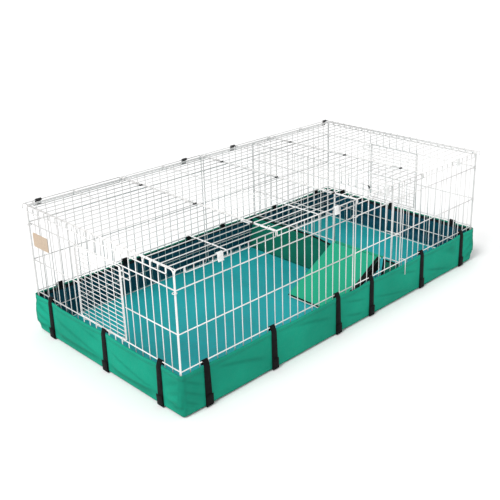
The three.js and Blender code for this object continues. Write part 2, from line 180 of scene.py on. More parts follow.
def new_group(
    name: str, inputs: Sequence[tuple[str, str, object]], outputs: Sequence[tuple[str, str]]
) -> tuple[NodeTree, bpy.types.Node, bpy.types.Node]:
    """Make an empty shader group with named sockets.

    Args:
        name: The group's name.
        inputs: Name, socket type and default of each input.
        outputs: Name and socket type of each output.

    Returns:
        The group's tree wrapper, its input node and its output node.
    """
    tree = bpy.data.node_groups.new(name, "ShaderNodeTree")
    for label, kind, default in inputs:
        socket = tree.interface.new_socket(label, in_out="INPUT", socket_type=kind)
        if default is not None:
            socket.default_value = default
    for label, kind in outputs:
        tree.interface.new_socket(label, in_out="OUTPUT", socket_type=kind)
    return NodeTree(tree), tree.nodes.new("NodeGroupInput"), tree.nodes.new("NodeGroupOutput")


def weave_group() -> bpy.types.NodeTree:
    """Plain weave from a flat map in metres: a thread height and a shade that varies by thread.

    Returns:
        The group's tree.
    """
    nodes, source, sink = new_group(
        "plain_weave",
        [("Vector", "NodeSocketVector", None), ("Threads", "NodeSocketFloat", 800.0)],
        [("Height", "NodeSocketFloat"), ("Shade", "NodeSocketFloat")],
    )
    split = nodes.add("ShaderNodeSeparateXYZ", {0: source.outputs["Vector"]})
    across = nodes.math("MULTIPLY", split.outputs[0], source.outputs["Threads"])
    along = nodes.math("MULTIPLY", split.outputs[1], source.outputs["Threads"])
    checks = nodes.math("MULTIPLY", nodes.math("SINE", across), nodes.math("SINE", along))
    warp = nodes.math("ABSOLUTE", nodes.math("COSINE", across))
    weft = nodes.math("ABSOLUTE", nodes.math("COSINE", along))
    over = nodes.remap(checks, -0.4, 0.4)
    under = nodes.math("SUBTRACT", 1.0, over)
    height = nodes.math("ADD", nodes.math("MULTIPLY", warp, over), nodes.math("MULTIPLY", weft, under))
    nodes.feed(sink.inputs["Height"], height)
    slub = nodes.noise(source.outputs["Vector"], 240.0, 2.0)
    nodes.feed(sink.inputs["Shade"], nodes.math("MULTIPLY", nodes.math("ADD", height, slub), 0.5))
    return nodes.tree


def mottle_group() -> bpy.types.NodeTree:
    """Slow and quick tone changes over a surface, from 0 to 1.

    Returns:
        The group's tree.
    """
    nodes, source, sink = new_group(
        "mottle",
        [("Vector", "NodeSocketVector", None), ("Scale", "NodeSocketFloat", 1.0)],
        [("Slow", "NodeSocketFloat"), ("Quick", "NodeSocketFloat")],
    )
    inputs = {0: source.outputs["Vector"], 3: source.outputs["Scale"]}
    scaled = nodes.add("ShaderNodeVectorMath", inputs, operation="SCALE")
    nodes.feed(sink.inputs["Slow"], nodes.remap(nodes.noise(scaled.outputs[0], 5.0, 2.0), 0.3, 0.7))
    nodes.feed(sink.inputs["Quick"], nodes.remap(nodes.noise(scaled.outputs[0], 70.0, 4.0), 0.3, 0.7))
    return nodes.tree


def stitch_group() -> bpy.types.NodeTree:
    """A running stitch along the map's first axis at one height: 1 on the thread.

    Returns:
        The group's tree.
    """
    nodes, source, sink = new_group(
        "running_stitch",
        [
            ("Vector", "NodeSocketVector", None),
            ("Line", "NodeSocketFloat", 0.0),
            ("Pitch", "NodeSocketFloat", 0.004),
            ("Width", "NodeSocketFloat", 0.0006),
        ],
        [("Thread", "NodeSocketFloat")],
    )
    split = nodes.add("ShaderNodeSeparateXYZ", {0: source.outputs["Vector"]})
    off = nodes.math("ABSOLUTE", nodes.math("SUBTRACT", split.outputs[1], source.outputs["Line"]))
    near = nodes.math("LESS_THAN", off, source.outputs["Width"])
    step = nodes.math("FRACT", nodes.math("DIVIDE", split.outputs[0], source.outputs["Pitch"]))
    dash = nodes.math("LESS_THAN", step, 0.68)
    nodes.feed(sink.inputs["Thread"], nodes.math("MULTIPLY", near, dash))
    return nodes.tree


class Groups:
    """The node groups that several materials share, each built once."""

    weave = weave_group()
    mottle = mottle_group()
    stitch = stitch_group()


def start_material(name: str) -> tuple[bpy.types.Material, NodeTree, bpy.types.Node]:
    """Make a material with a Principled shader.

    Args:
        name: The material's name.

    Returns:
        The material, its tree wrapper and its shader node.
    """
    material = bpy.data.materials.new(name)
    material.use_nodes = True
    return material, NodeTree(material.node_tree), material.node_tree.nodes["Principled BSDF"]


def shade(colour: Sequence[float], factor: float) -> tuple[float, float, float, float]:
    """Scale a colour's brightness."""
    return (colour[0] * factor, colour[1] * factor, colour[2] * factor, 1.0)


@dataclass(frozen=True)
class WireCoat:
    """Plastic-coated wire: faintly orange-peeled, dull where it was handled, and greyer towards the back
    with painted shade.
    """

    name: str = "wire_coat"
    colour: tuple[float, float, float] = (0.82, 0.81, 0.80)
    # painted shade: the coat's brightness towards the back of the cage
    painted_back_shade: float = 0.74
    painted_back_shade_between: tuple[float, float] = (-0.22, 0.30)
    roughness: float = 0.34

    def material(self) -> bpy.types.Material:
        """Build the material.

        Returns:
            The material.
        """
        material, nodes, shader = start_material(self.name)
        place = nodes.add("ShaderNodeTexCoord").outputs["Object"]
        mottle = nodes.group(Groups.mottle, {"Vector": place, "Scale": 1.6})
        tone = nodes.mix(mottle.outputs["Slow"], shade(self.colour, 0.94), shade(self.colour, 1.04))
        handled = nodes.math("MULTIPLY", mottle.outputs["Quick"], 0.16)
        tone = nodes.mix(handled, tone, shade(self.colour, 0.72))
        along = nodes.add("ShaderNodeSeparateXYZ", {"Vector": place}).outputs
        # Painted shade: the coat greys towards the back of the cage, and a little towards the right end.
        back = nodes.math("ADD", along["Y"], nodes.math("MULTIPLY", along["X"], 0.2))
        painted_back_shade = nodes.remap(back, *self.painted_back_shade_between)
        nodes.feed(shader.inputs["Base Color"], nodes.mix(painted_back_shade, tone, shade(self.colour, self.painted_back_shade)))
        rough = nodes.remap(mottle.outputs["Quick"], 0.0, 1.0, self.roughness - 0.08, self.roughness + 0.12)
        nodes.feed(shader.inputs["Roughness"], rough)
        shader.inputs["Coat Weight"].default_value = 0.25
        peel = nodes.noise(place, 900.0, 2.0)
        bump = nodes.add("ShaderNodeBump", {"Height": peel, "Strength": 0.12, "Distance": 0.0002})
        nodes.feed(shader.inputs["Normal"], bump.outputs[0])
        return material


@dataclass(frozen=True)
class Cloth:
    """Woven canvas: thread weave, slow fading, painted shade in its creases and an optional stitched edge.
    """

    name: str
    colour: tuple[float, float, float]
    roughness: float = 0.78
    threads: float = 7000.0
    fade: float = 0.16
    sheen: float = 0.0
    gloss: float = 0.08
    stitch_lines: tuple[float, ...] = ()
    thread_colour: tuple[float, float, float] = (0.02, 0.16, 0.12)
    foot_band: float = 0.0

    def material(self) -> bpy.types.Material:
        """Build the material. It reads the piece's own flat map, in metres.

        Returns:
            The material.
        """
        material, nodes, shader = start_material(self.name)
        coords = nodes.add("ShaderNodeTexCoord")
        weave = nodes.group(Groups.weave, {"Vector": coords.outputs["UV"], "Threads": self.threads})
        mottle = nodes.group(Groups.mottle, {"Vector": coords.outputs["Object"], "Scale": 1.0})
        faded, fresh = shade(self.colour, 1.0 - self.fade), shade(self.colour, 1.0 + self.fade)
        tone = nodes.mix(mottle.outputs["Slow"], faded, fresh)
        thready = nodes.math("MULTIPLY", weave.outputs["Shade"], 0.45)
        colour = nodes.mix(thready, tone, shade(self.colour, 0.55))
        height = weave.outputs["Height"]
        for line in self.stitch_lines:
            stitch = nodes.group(Groups.stitch, {"Vector": coords.outputs["UV"], "Line": line})
            colour = nodes.mix(stitch.outputs["Thread"], colour, (*self.thread_colour, 1.0))
            height = nodes.math("ADD", height, nodes.math("MULTIPLY", stitch.outputs["Thread"], 2.0))
        if self.foot_band:
            # Painted shade: the tray's fold attribute darkens creases, pleat troughs and the ledge's
            # underside, and also the rounded corners.
            painted_crease_shade = nodes.add("ShaderNodeAttribute", attribute_name="fold").outputs["Fac"]
            colour = nodes.mix(nodes.math("MULTIPLY", painted_crease_shade, 0.75), colour, shade(self.colour, 0.45))
            above = nodes.add("ShaderNodeSeparateXYZ", {0: coords.outputs["Object"]}).outputs[2]
            foot = nodes.remap(above, self.foot_band, self.foot_band * 0.6)
            colour = nodes.mix(foot, colour, shade(self.thread_colour, 0.2))
        nodes.feed(shader.inputs["Base Color"], colour)
        rough = nodes.remap(mottle.outputs["Quick"], 0.0, 1.0, self.roughness - 0.06, self.roughness + 0.08)
        nodes.feed(shader.inputs["Roughness"], rough)
        shader.inputs["Sheen Weight"].default_value = self.sheen
        shader.inputs["Sheen Roughness"].default_value = 0.5
        shader.inputs["Specular IOR Level"].default_value = self.gloss
        bump = nodes.add("ShaderNodeBump", {"Height": height, "Strength": 0.35, "Distance": 0.0003})
        nodes.feed(shader.inputs["Normal"], bump.outputs[0])
        return material


@dataclass(frozen=True)
class Lining:
    """Wipe-clean lining: teal on the floor, much darker up the walls with painted shade, with a black
    binding at the hem.
    """

    name: str = "tray_lining"
    floor: tuple[float, float, float] = (0.014, 0.30, 0.32)
    # painted shade: the walls' colour, much darker than the floor's teal
    wall: tuple[float, float, float] = (0.004, 0.060, 0.095)
    binding: tuple[float, float, float] = (0.006, 0.010, 0.014)
    hem: tuple[float, float, float] = (0.010, 0.20, 0.13)
    wall_shade_from: float = 0.003
    wall_shade_full: float = 0.010
    binding_from: float = 0.093
    hem_from: float = 0.1045

    def material(self) -> bpy.types.Material:
        """Build the material from height above the ground.

        Returns:
            The material.
        """
        material, nodes, shader = start_material(self.name)
        place = nodes.add("ShaderNodeTexCoord").outputs["Object"]
        height = nodes.add("ShaderNodeSeparateXYZ", {0: place}).outputs[2]
        mottle = nodes.group(Groups.mottle, {"Vector": place, "Scale": 0.7})
        floor = nodes.mix(mottle.outputs["Slow"], shade(self.floor, 0.86), shade(self.floor, 1.12))
        scuffs = nodes.math("MULTIPLY", mottle.outputs["Quick"], 0.2)
        scuffed = nodes.mix(scuffs, floor, shade(self.floor, 1.35))
        # Painted shade: the lining darkens from the floor up into the walls.
        painted_wall_shade = nodes.remap(height, self.wall_shade_from, self.wall_shade_full)
        walls = nodes.mix(mottle.outputs["Slow"], shade(self.wall, 0.85), shade(self.wall, 1.2))
        lower = nodes.mix(painted_wall_shade, scuffed, walls)
        bound = nodes.remap(height, self.binding_from, self.binding_from + 0.002)
        dark = nodes.mix(bound, lower, (*self.binding, 1.0))
        turned = nodes.remap(height, self.hem_from, self.hem_from + 0.0015)
        nodes.feed(shader.inputs["Base Color"], nodes.mix(turned, dark, (*self.hem, 1.0)))
        nodes.feed(shader.inputs["Roughness"], nodes.remap(mottle.outputs["Quick"], 0.0, 1.0, 0.48, 0.62))
        shader.inputs["Specular IOR Level"].default_value = 0.16
        grain = nodes.noise(place, 1400.0, 3.0)
        bump = nodes.add("ShaderNodeBump", {"Height": grain, "Strength": 0.25, "Distance": 0.0003})
        nodes.feed(shader.inputs["Normal"], bump.outputs[0])
        return material


@dataclass(frozen=True)
class Moulding:
    """Moulded plastic with a fine spark texture."""

    name: str
    colour: tuple[float, float, float]
    roughness: float = 0.4

    def material(self) -> bpy.types.Material:
        """Build the material.

        Returns:
            The material.
        """
        material, nodes, shader = start_material(self.name)
        place = nodes.add("ShaderNodeTexCoord").outputs["Object"]
        mottle = nodes.group(Groups.mottle, {"Vector": place, "Scale": 4.0})
        nodes.feed(
            shader.inputs["Base Color"],
            nodes.mix(mottle.outputs["Quick"], shade(self.colour, 0.88), shade(self.colour, 1.1)),
        )
        rough = nodes.remap(mottle.outputs["Slow"], 0.0, 1.0, self.roughness - 0.06, self.roughness + 0.1)
        nodes.feed(shader.inputs["Roughness"], rough)
        spark = nodes.noise(place, 5200.0, 2.0)
        bump = nodes.add("ShaderNodeBump", {"Height": spark, "Strength": 0.08, "Distance": 0.0001})
        nodes.feed(shader.inputs["Normal"], bump.outputs[0])
        return material


class Finish(Enum):
    """The finishes of the cage's pieces, each named for what it is."""

    WIRE = "wire"
    CANVAS = "canvas"
    LINING = "canvas_inside"
    COVER = "cover_canvas"
    SHADED_SKIRT = "skirt_canvas"
    WEBBING = "webbing"
    WHITE_CLIP = "white_clip"
    BLACK_CLIP = "black_clip"
    PLATE = "plate"


class Wardrobe:
    """Builds each finish's material once and hands it out."""

    recipes = {
        Finish.WIRE: WireCoat(),
        Finish.CANVAS: Cloth(
            "tray_canvas", (0.012, 0.34, 0.222), stitch_lines=(101.5 * MM, 98 * MM), foot_band=3.5 * MM
        ),
        Finish.LINING: Lining(),
        Finish.COVER: Cloth("cover_cloth", (0.022, 0.36, 0.212), fade=0.1),
        # painted shade: the cover's green, darkened for the skirts
        Finish.SHADED_SKIRT: Cloth("skirt_cloth_shaded", (0.006, 0.15, 0.10), fade=0.2),
        Finish.WEBBING: Cloth(
            "strap_webbing",
            (0.007, 0.007, 0.0075),
            roughness=0.9,
            threads=4200.0,
            fade=0.25,
            sheen=0.02,
            gloss=0.12,
        ),
        Finish.WHITE_CLIP: Moulding("clip_white", (0.78, 0.79, 0.78), 0.32),
        Finish.BLACK_CLIP: Moulding("clip_black", (0.012, 0.012, 0.013), 0.42),
        Finish.PLATE: Moulding("plate_tan", (0.50, 0.385, 0.28), 0.5),
    }
    made: dict[Finish, bpy.types.Material] = {}

    @classmethod
    def material(cls, finish: Finish) -> bpy.types.Material:
        """Return the finish's material, made on first use.

        Args:
            finish: The finish.

        Returns:
            Its material.
        """
        if finish not in cls.made:
            cls.made[finish] = cls.recipes[finish].material()
        return cls.made[finish]


# ---------------------------------------------------------------- mesh tools


@dataclass(frozen=True)
class Plane:
    """A flat working plane in the cage: u across, v up, n outward."""

    origin: Vector
    u: Vector
    v: Vector
    n: Vector

    def at(self, u: float, v: float, n: float = 0.0) -> Vector:
        """Return the place of a point given in the plane."""
        return self.origin + self.u * u + self.v * v + self.n * n


def rounded(points: Sequence[Vector], radius: float, steps: int = 4) -> list[Vector]:
    """Round the corners of an open path.

    Args:
        points: The path's corners.
        radius: Bend radius, shortened where a leg is too short for it.
        steps: Flats to a bend.

    Returns:
        The path with each inner corner replaced by an arc.
    """
    path = [points[0]]
    for before, corner, after in zip(points, points[1:], points[2:]):
        back, ahead = (before - corner), (after - corner)
        angle = back.angle(ahead)
        if angle > math.radians(176):
            path.append(corner)
            continue
        reach = min(radius / math.tan(angle / 2), back.length * 0.49, ahead.length * 0.49)
        start, end = corner + back.normalized() * reach, corner + ahead.normalized() * reach
        for i in range(steps + 1):
            t = i / steps
            path.append(start.lerp(corner, t).lerp(corner.lerp(end, t), t))
    path.append(points[-1])
    return path


def arc(
    plane: Plane, centre: tuple[float, float], radius: float, start: float, end: float, steps: int
) -> list[Vector]:
    """Return points on a circular arc in a plane, angles in degrees from u towards v."""
    angles = [math.radians(start + (end - start) * i / steps) for i in range(steps + 1)]
    return [plane.at(centre[0] + radius * math.cos(a), centre[1] + radius * math.sin(a)) for a in angles]


def direction_matrix(place: Vector, direction: Vector) -> Matrix:
    """Return the transform that stands a Z-aligned shape at a place, along a direction."""
    return Matrix.Translation(place) @ direction.to_track_quat("Z", "Y").to_matrix().to_4x4()


class Workpiece:
    """One bmesh under construction, with the few operations that the cage's pieces need."""

    def __init__(self) -> None:
        """Start empty."""
        self.bm = bmesh.new()

    def section(
        self, place: Vector, direction: Vector, radius: float, sides: int
    ) -> tuple[list[bmesh.types.BMVert], list[bmesh.types.BMEdge]]:
        """Add the open ring that a wire's section makes.

        Args:
            place: The ring's centre.
            direction: The way that the wire runs.
            radius: Half the wire's thickness.
            sides: Flats round the wire.

        Returns:
            The ring's points and its edges.
        """
        matrix = direction_matrix(place, direction)
        made = bmesh.ops.create_circle(self.bm, cap_ends=False, segments=sides, radius=radius, matrix=matrix)
        ring = made["verts"]
        return ring, list({e for v in ring for e in v.link_edges})

    def rod(self, start: Vector, end: Vector, radius: float, sides: int = 10) -> None:
        """Add a straight wire between two points.

        Args:
            start: The wire's first end.
            end: Its other end.
            radius: Half its thickness.
            sides: Flats round it.
        """
        bmesh.ops.create_cone(
            self.bm,
            cap_ends=True,
            segments=sides,
            radius1=radius,
            radius2=radius,
            depth=(end - start).length,
            matrix=direction_matrix((start + end) / 2, end - start),
        )

    def bent_rod(self, path: Sequence[Vector], radius: float, sides: int = 10, closed: bool = False) -> None:
        """Sweep a round wire along a path by extruding a ring from point to point.

        Args:
            path: Points along the wire's middle.
            radius: Half the wire's thickness.
            sides: Flats round the wire.
            closed: Whether the wire's ends meet.
        """
        points = list(path)
        tangents = [(b - a).normalized() for a, b in zip(points, points[1:])]
        turns = [(a + b).normalized() for a, b in zip(tangents, tangents[1:])]
        tangents = [tangents[0], *turns, tangents[-1]]
        if closed:
            tangents[0] = tangents[-1] = (tangents[0] + tangents[-1]).normalized()
        _, edges = self.section(points[0], tangents[0], radius, sides)
        first = edges
        for i in range(1, len(points)):
            made = bmesh.ops.extrude_edge_only(self.bm, edges=edges)["geom"]
            ring = [g for g in made if isinstance(g, bmesh.types.BMVert)]
            edges = [g for g in made if isinstance(g, bmesh.types.BMEdge)]
            swing = tangents[i - 1].rotation_difference(tangents[i]).to_matrix().to_4x4()
            matrix = Matrix.Translation(points[i]) @ swing @ Matrix.Translation(-points[i - 1])
            bmesh.ops.transform(self.bm, matrix=matrix, verts=ring)
        if closed:
            bmesh.ops.remove_doubles(self.bm, verts=self.bm.verts, dist=1e-6)
        else:
            bmesh.ops.edgeloop_fill(self.bm, edges=first)
            bmesh.ops.edgeloop_fill(self.bm, edges=edges)

    def eye(
        self, centre: Vector, axis: Vector, radius: float, wire: float, steps: int = 16, sides: int = 8
    ) -> None:
        """Add a closed ring of wire by spinning its section about an axis.

        Args:
            centre: The ring's centre.
            axis: The line it goes round.
            radius: To the wire's middle.
            wire: Half the wire's thickness.
            steps: Flats round the ring.
            sides: Flats round the wire.
        """
        across = axis.orthogonal().normalized()
        ring, edges = self.section(centre + across * radius, axis.cross(across), wire, sides)
        whole = {"angle": math.tau, "steps": steps, "use_merge": True}
        bmesh.ops.spin(self.bm, geom=ring + edges, cent=centre, axis=axis, **whole)

    def ribbon(self, path: Sequence[Vector], across: Vector) -> None:
        """Extrude an edge as wide as the vector across along a path, into a strip.

        Args:
            path: Points along the strip's middle.
            across: The edge, from one side of the strip to the other.
        """
        start = [self.bm.verts.new(path[0] + across * side) for side in (-0.5, 0.5)]
        edges = [self.bm.edges.new(start)]
        for before, here in zip(path, path[1:]):
            made = bmesh.ops.extrude_edge_only(self.bm, edges=edges)["geom"]
            edges = [g for g in made if isinstance(g, bmesh.types.BMEdge)]
            verts = [g for g in made if isinstance(g, bmesh.types.BMVert)]
            bmesh.ops.translate(self.bm, vec=here - before, verts=verts)

    def slice_up(self, axis: Vector, low: float, high: float, step: float) -> None:
        """Cut the whole mesh by parallel planes a step apart, so that it can bend.

        Args:
            axis: The planes' normal.
            low: Where the mesh begins along it.
            high: Where it ends.
            step: Distance between cuts.
        """
        count = max(1, round((high - low) / step))
        for i in range(1, count):
            self.cut(axis * (low + (high - low) * i / count), axis)

    def cut(self, place: Vector, normal: Vector) -> None:
        """Cut the whole mesh by one plane, keeping both sides."""
        geometry = [*self.bm.verts, *self.bm.edges, *self.bm.faces]
        bmesh.ops.bisect_plane(self.bm, geom=geometry, dist=1e-7, plane_co=place, plane_no=normal)

    def box(self, low: Vector, high: Vector) -> None:
        """Add a box between two corners."""
        matrix = Matrix.Translation((low + high) / 2) @ Matrix.Diagonal((*(high - low), 1))
        bmesh.ops.create_cube(self.bm, size=1.0, matrix=matrix)

    def bevel(self, edges: Sequence[bmesh.types.BMEdge], radius: float, segments: int) -> None:
        """Round edges of the mesh itself."""
        bmesh.ops.bevel(
            self.bm, geom=edges, offset=radius, segments=segments, affect="EDGES", profile=0.5, material=-1
        )

    def flat_map(self) -> None:
        """Give every face a flat map in metres, taken along its flattest direction."""
        layer = self.bm.loops.layers.uv.new("flat")
        for face in self.bm.faces:
            normal = face.normal
            size = (abs(normal.x), abs(normal.y), abs(normal.z))
            axes = ((1, 2), (0, 2), (0, 1))[size.index(max(size))]
            for loop in face.loops:
                loop[layer].uv = (loop.vert.co[axes[0]], loop.vert.co[axes[1]])

    def finish(
        self, name: str, finish: Finish, closed: bool = True, smooth: bool = True
    ) -> bpy.types.Object:
        """Turn the work into an object at the origin, dressed in a finish.

        Args:
            name: The piece's name.
            finish: Its main finish.
            closed: Whether it is a closed body, whose faces are then made to point out.
            smooth: Whether it is shaded smooth.

        Returns:
            The new object.
        """
        if closed:
            bmesh.ops.recalc_face_normals(self.bm, faces=self.bm.faces)
        self.bm.normal_update()
        self.flat_map()
        for face in self.bm.faces:
            face.smooth = smooth and len(face.verts) < 6
        mesh = bpy.data.meshes.new(name)
        self.bm.to_mesh(mesh)
        self.bm.free()
        piece = bpy.data.objects.new(name, mesh)
        bpy.context.scene.collection.objects.link(piece)
        mesh.materials.append(Wardrobe.material(finish))
        LOG.info("%s: %d faces", name, len(mesh.polygons))
        return piece


def thicken(piece: bpy.types.Object, thickness: float, offset: float = -1.0) -> None:
    """Give a sheet its thickness.

    Args:
        piece: The sheet.
        thickness: How thick it becomes.
        offset: Which way it grows: -1 inwards, 0 both ways.
    """
    solid = piece.modifiers.new("thickness", "SOLIDIFY")
    solid.thickness = thickness
    solid.offset = offset
    solid.use_even_offset = False


def soften(piece: bpy.types.Object, width: float, segments: int = 2) -> None:
    """Round a piece's hard edges.

    Args:
        piece: The piece.
        width: Width of the rounding.
        segments: Flats across it.
    """
    bevel = piece.modifiers.new("edge_radius", "BEVEL")
    bevel.width = width
    bevel.segments = segments
    bevel.limit_method = "ANGLE"


def settle(piece: bpy.types.Object, body: str, *nodes: str) -> bpy.types.Object:
    """Make a piece ride on a body and stand for its nodes.

    Args:
        piece: The piece.
        body: The body it moves with.
        *nodes: The nodes it replaces.

    Returns:
        The same piece.
    """
    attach(piece, body)
    if nodes:
        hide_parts(*nodes)
    return piece


def evenly(first: float, last: float, pitch: float) -> list[float]:
    """Return stations from first to last, as near to the pitch as a whole number of gaps allows."""
    gaps = max(1, round((last - first) / pitch))
    return [first + (last - first) * i / gaps for i in range(gaps + 1)]


# ---------------------------------------------------------------- sizes taken from the frame


@dataclass(frozen=True)
class CageSizes:
    """The places that the pieces share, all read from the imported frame."""

    half_wire: float = 1.5 * MM
    strap_over_rail: float = 3.3 * MM
    pitch: float = 27.1 * MM
    low_rails: tuple[float, ...] = (55 * MM, 211 * MM)
    front: tuple[Vector, Vector] = field(default_factory=lambda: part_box("wall_front_left"))
    left: tuple[Vector, Vector] = field(default_factory=lambda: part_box("wall_end_left"))
    tray: tuple[Vector, Vector] = field(default_factory=lambda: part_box("canvas_tray"))
    door: tuple[Vector, Vector] = field(default_factory=lambda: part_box("door_left"))
    lid: tuple[Vector, Vector] = field(default_factory=lambda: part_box("lid_outer_left"))
    divider: tuple[Vector, Vector] = field(default_factory=lambda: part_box("divider_panel"))

    @property
    def side_plane(self) -> float:
        """Distance of the long walls' middle plane from the centre line."""
        return -(self.front[0].y + self.front[1].y) / 2

    @property
    def end_plane(self) -> float:
        """Distance of the end walls' middle plane from the middle."""
        return -(self.left[0].x + self.left[1].x) / 2

    @property
    def foot(self) -> float:
        """Height of the walls' foot wires."""
        return self.front[0].z + self.half_wire

    @property
    def top(self) -> float:
        """Height of the walls' top wires."""
        return self.front[1].z - self.half_wire

    @property
    def strap_rail(self) -> float:
        """Height of the rail that the straps go over."""
        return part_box("strap_front_1")[1].z - self.strap_over_rail

    @property
    def lintel(self) -> float:
        """Height of the upper rail, over the end doors."""
        return self.door[1].z

    @property
    def doorway(self) -> tuple[float, float]:
        """The end doorway's two uprights, in the end wall's own u."""
        return (self.door[0].y + self.half_wire, self.door[1].y - self.half_wire)

    @property
    def lid_plane(self) -> float:
        """Height of the lid's middle plane."""
        return (self.lid[0].z + self.lid[1].z) / 2

    @property
    def lid_end(self) -> float:
        """Distance of the lid's end wires from the middle."""
        return -self.lid[0].x - self.half_wire

    @property
    def lid_side(self) -> float:
        """Distance of the lid's side wires from the centre line."""
        return self.lid[1].y - self.half_wire

    @property
    def fold(self) -> float:
        """Distance of the outer hinge lines from the middle."""
        return self.end_plane / 2


SIZES = CageSizes()

FRONT = Plane(Vector((0, -SIZES.side_plane, 0)), X_AXIS, Z_AXIS, -Y_AXIS)
BACK = Plane(Vector((0, SIZES.side_plane, 0)), X_AXIS, Z_AXIS, Y_AXIS)
LEFT = Plane(Vector((-SIZES.end_plane, 0, 0)), Y_AXIS, Z_AXIS, -X_AXIS)
RIGHT = Plane(Vector((SIZES.end_plane, 0, 0)), -Y_AXIS, Z_AXIS, X_AXIS)


# ---------------------------------------------------------------- wire panels


@dataclass(frozen=True)
class Gauge:
    """Wire radii and how far the two layers of a welded panel stand apart."""

    upright: float = 1.15 * MM
    rail: float = 1.45 * MM
    thin: float = 0.9 * MM
    cross: float = 1.35 * MM
    edge: float = 1.2 * MM
    hook: float = 1.3 * MM
    layer: float = 0.9 * MM
    rail_layer: float = 0.54 * MM
    bend: float = 10 * MM
    sides: int = 8


GAUGE = Gauge()


@dataclass(frozen=True)
class Opening:
    """A doorway left in a panel: its two uprights and its sill and lintel."""

    first: float
    last: float
    sill: float
    lintel: float


class WirePanel:
    """A welded panel: uprights on the inside, rails on the outside and a bent frame wire round it."""

    def __init__(self, plane: Plane, first: float, last: float, foot: float, top: float) -> None:
        """Start a panel.

        Args:
            plane: The panel's plane.
            first: Its lowest u.
            last: Its highest u.
            foot: Height of its foot wire.
            top: Height of its top wire.
        """
        self.plane, self.first, self.last, self.foot, self.top = plane, first, last, foot, top
        self.work = Workpiece()

    def frame(self) -> None:
        """Add the outer wire, bent at its corners."""
        sides = ((self.last, (self.foot, self.top)), (self.first, (self.top, self.foot)))
        corners = [(u, v) for u, heights in sides for v in heights]
        middle = ((self.first + self.last) / 2, self.foot)
        points = [self.plane.at(*p) for p in (middle, *corners, middle)]
        self.work.bent_rod(rounded(points, GAUGE.bend), GAUGE.rail)

    def uprights(self, stations: Iterable[float], opening: Opening | None = None) -> None:
        """Add the upright wires, interrupted by a doorway.

        Args:
            stations: The wires' places across the panel.
            opening: The doorway, if there is one.
        """
        for u in stations:
            spans = [(self.foot, self.top)]
            if opening and opening.first + MM < u < opening.last - MM:
                spans = [(self.foot, opening.sill), (opening.lintel, self.top)]
            for low, high in spans:
                start, end = self.plane.at(u, low, -GAUGE.layer), self.plane.at(u, high, -GAUGE.layer)
                self.work.rod(start, end, GAUGE.upright, GAUGE.sides)

    def rails(self, heights: Iterable[float], opening: Opening | None = None) -> None:
        """Add the long wires, interrupted by a doorway where they cross it.

        Args:
            heights: The wires' heights.
            opening: The doorway, if there is one.
        """
        for v in heights:
            spans = [(self.first, self.last)]
            if opening and opening.sill + MM < v < opening.lintel - MM:
                spans = [(self.first, opening.first), (opening.last, self.last)]
            for start, end in spans:
                ends = [self.plane.at(u, v, GAUGE.rail_layer) for u in (start, end)]
                self.work.rod(*ends, GAUGE.rail, GAUGE.sides)

    def ring(self, u: float, v: float, radius: float) -> None:
        """Add an upright hinge eye of thin wire."""
        self.work.eye(self.plane.at(u, v), self.plane.v, radius, GAUGE.thin)

    def finish(self, name: str, body: str, *nodes: str) -> bpy.types.Object:
        """Make the panel's object, riding on its body and standing for its nodes."""
        return settle(self.work.finish(name, Finish.WIRE), body, *nodes)


@dataclass(frozen=True)
class LongWalls:
    """The two long walls, each of two panels that meet in the middle."""

    middle_gap: float = 4.5 * MM
    eye_heights: tuple[float, ...] = (317 * MM, 67 * MM)
    eye_clearance: float = 2.6 * MM

    def build(self) -> None:
        """Build the four panels."""
        for plane, side in ((FRONT, "front"), (BACK, "back")):
            for sign, hand in ((-1, "left"), (1, "right")):
                self.panel(plane, side, sign, hand)

    def panel(self, plane: Plane, side: str, sign: int, hand: str) -> None:
        """Build one panel, with the hinge eye that it shares at the middle on the right-hand one.

        Args:
            plane: The wall's plane.
            side: Front or back.
            sign: -1 left of the middle, 1 right of it.
            hand: Left or right.
        """
        span = sorted((sign * self.middle_gap, sign * SIZES.end_plane))
        panel = WirePanel(plane, span[0], span[1], SIZES.foot, SIZES.top)
        panel.frame()
        panel.uprights(evenly(span[0], span[1], SIZES.pitch)[1:-1])
        panel.rails((*SIZES.low_rails, SIZES.strap_rail, SIZES.lintel + GAUGE.rail))
        if sign > 0:
            for height in self.eye_heights:
                panel.ring(0.0, height, self.middle_gap + self.eye_clearance)
        panel.finish(f"wire_wall_{side}_{hand}", "cage", f"wall_{side}_{hand}")


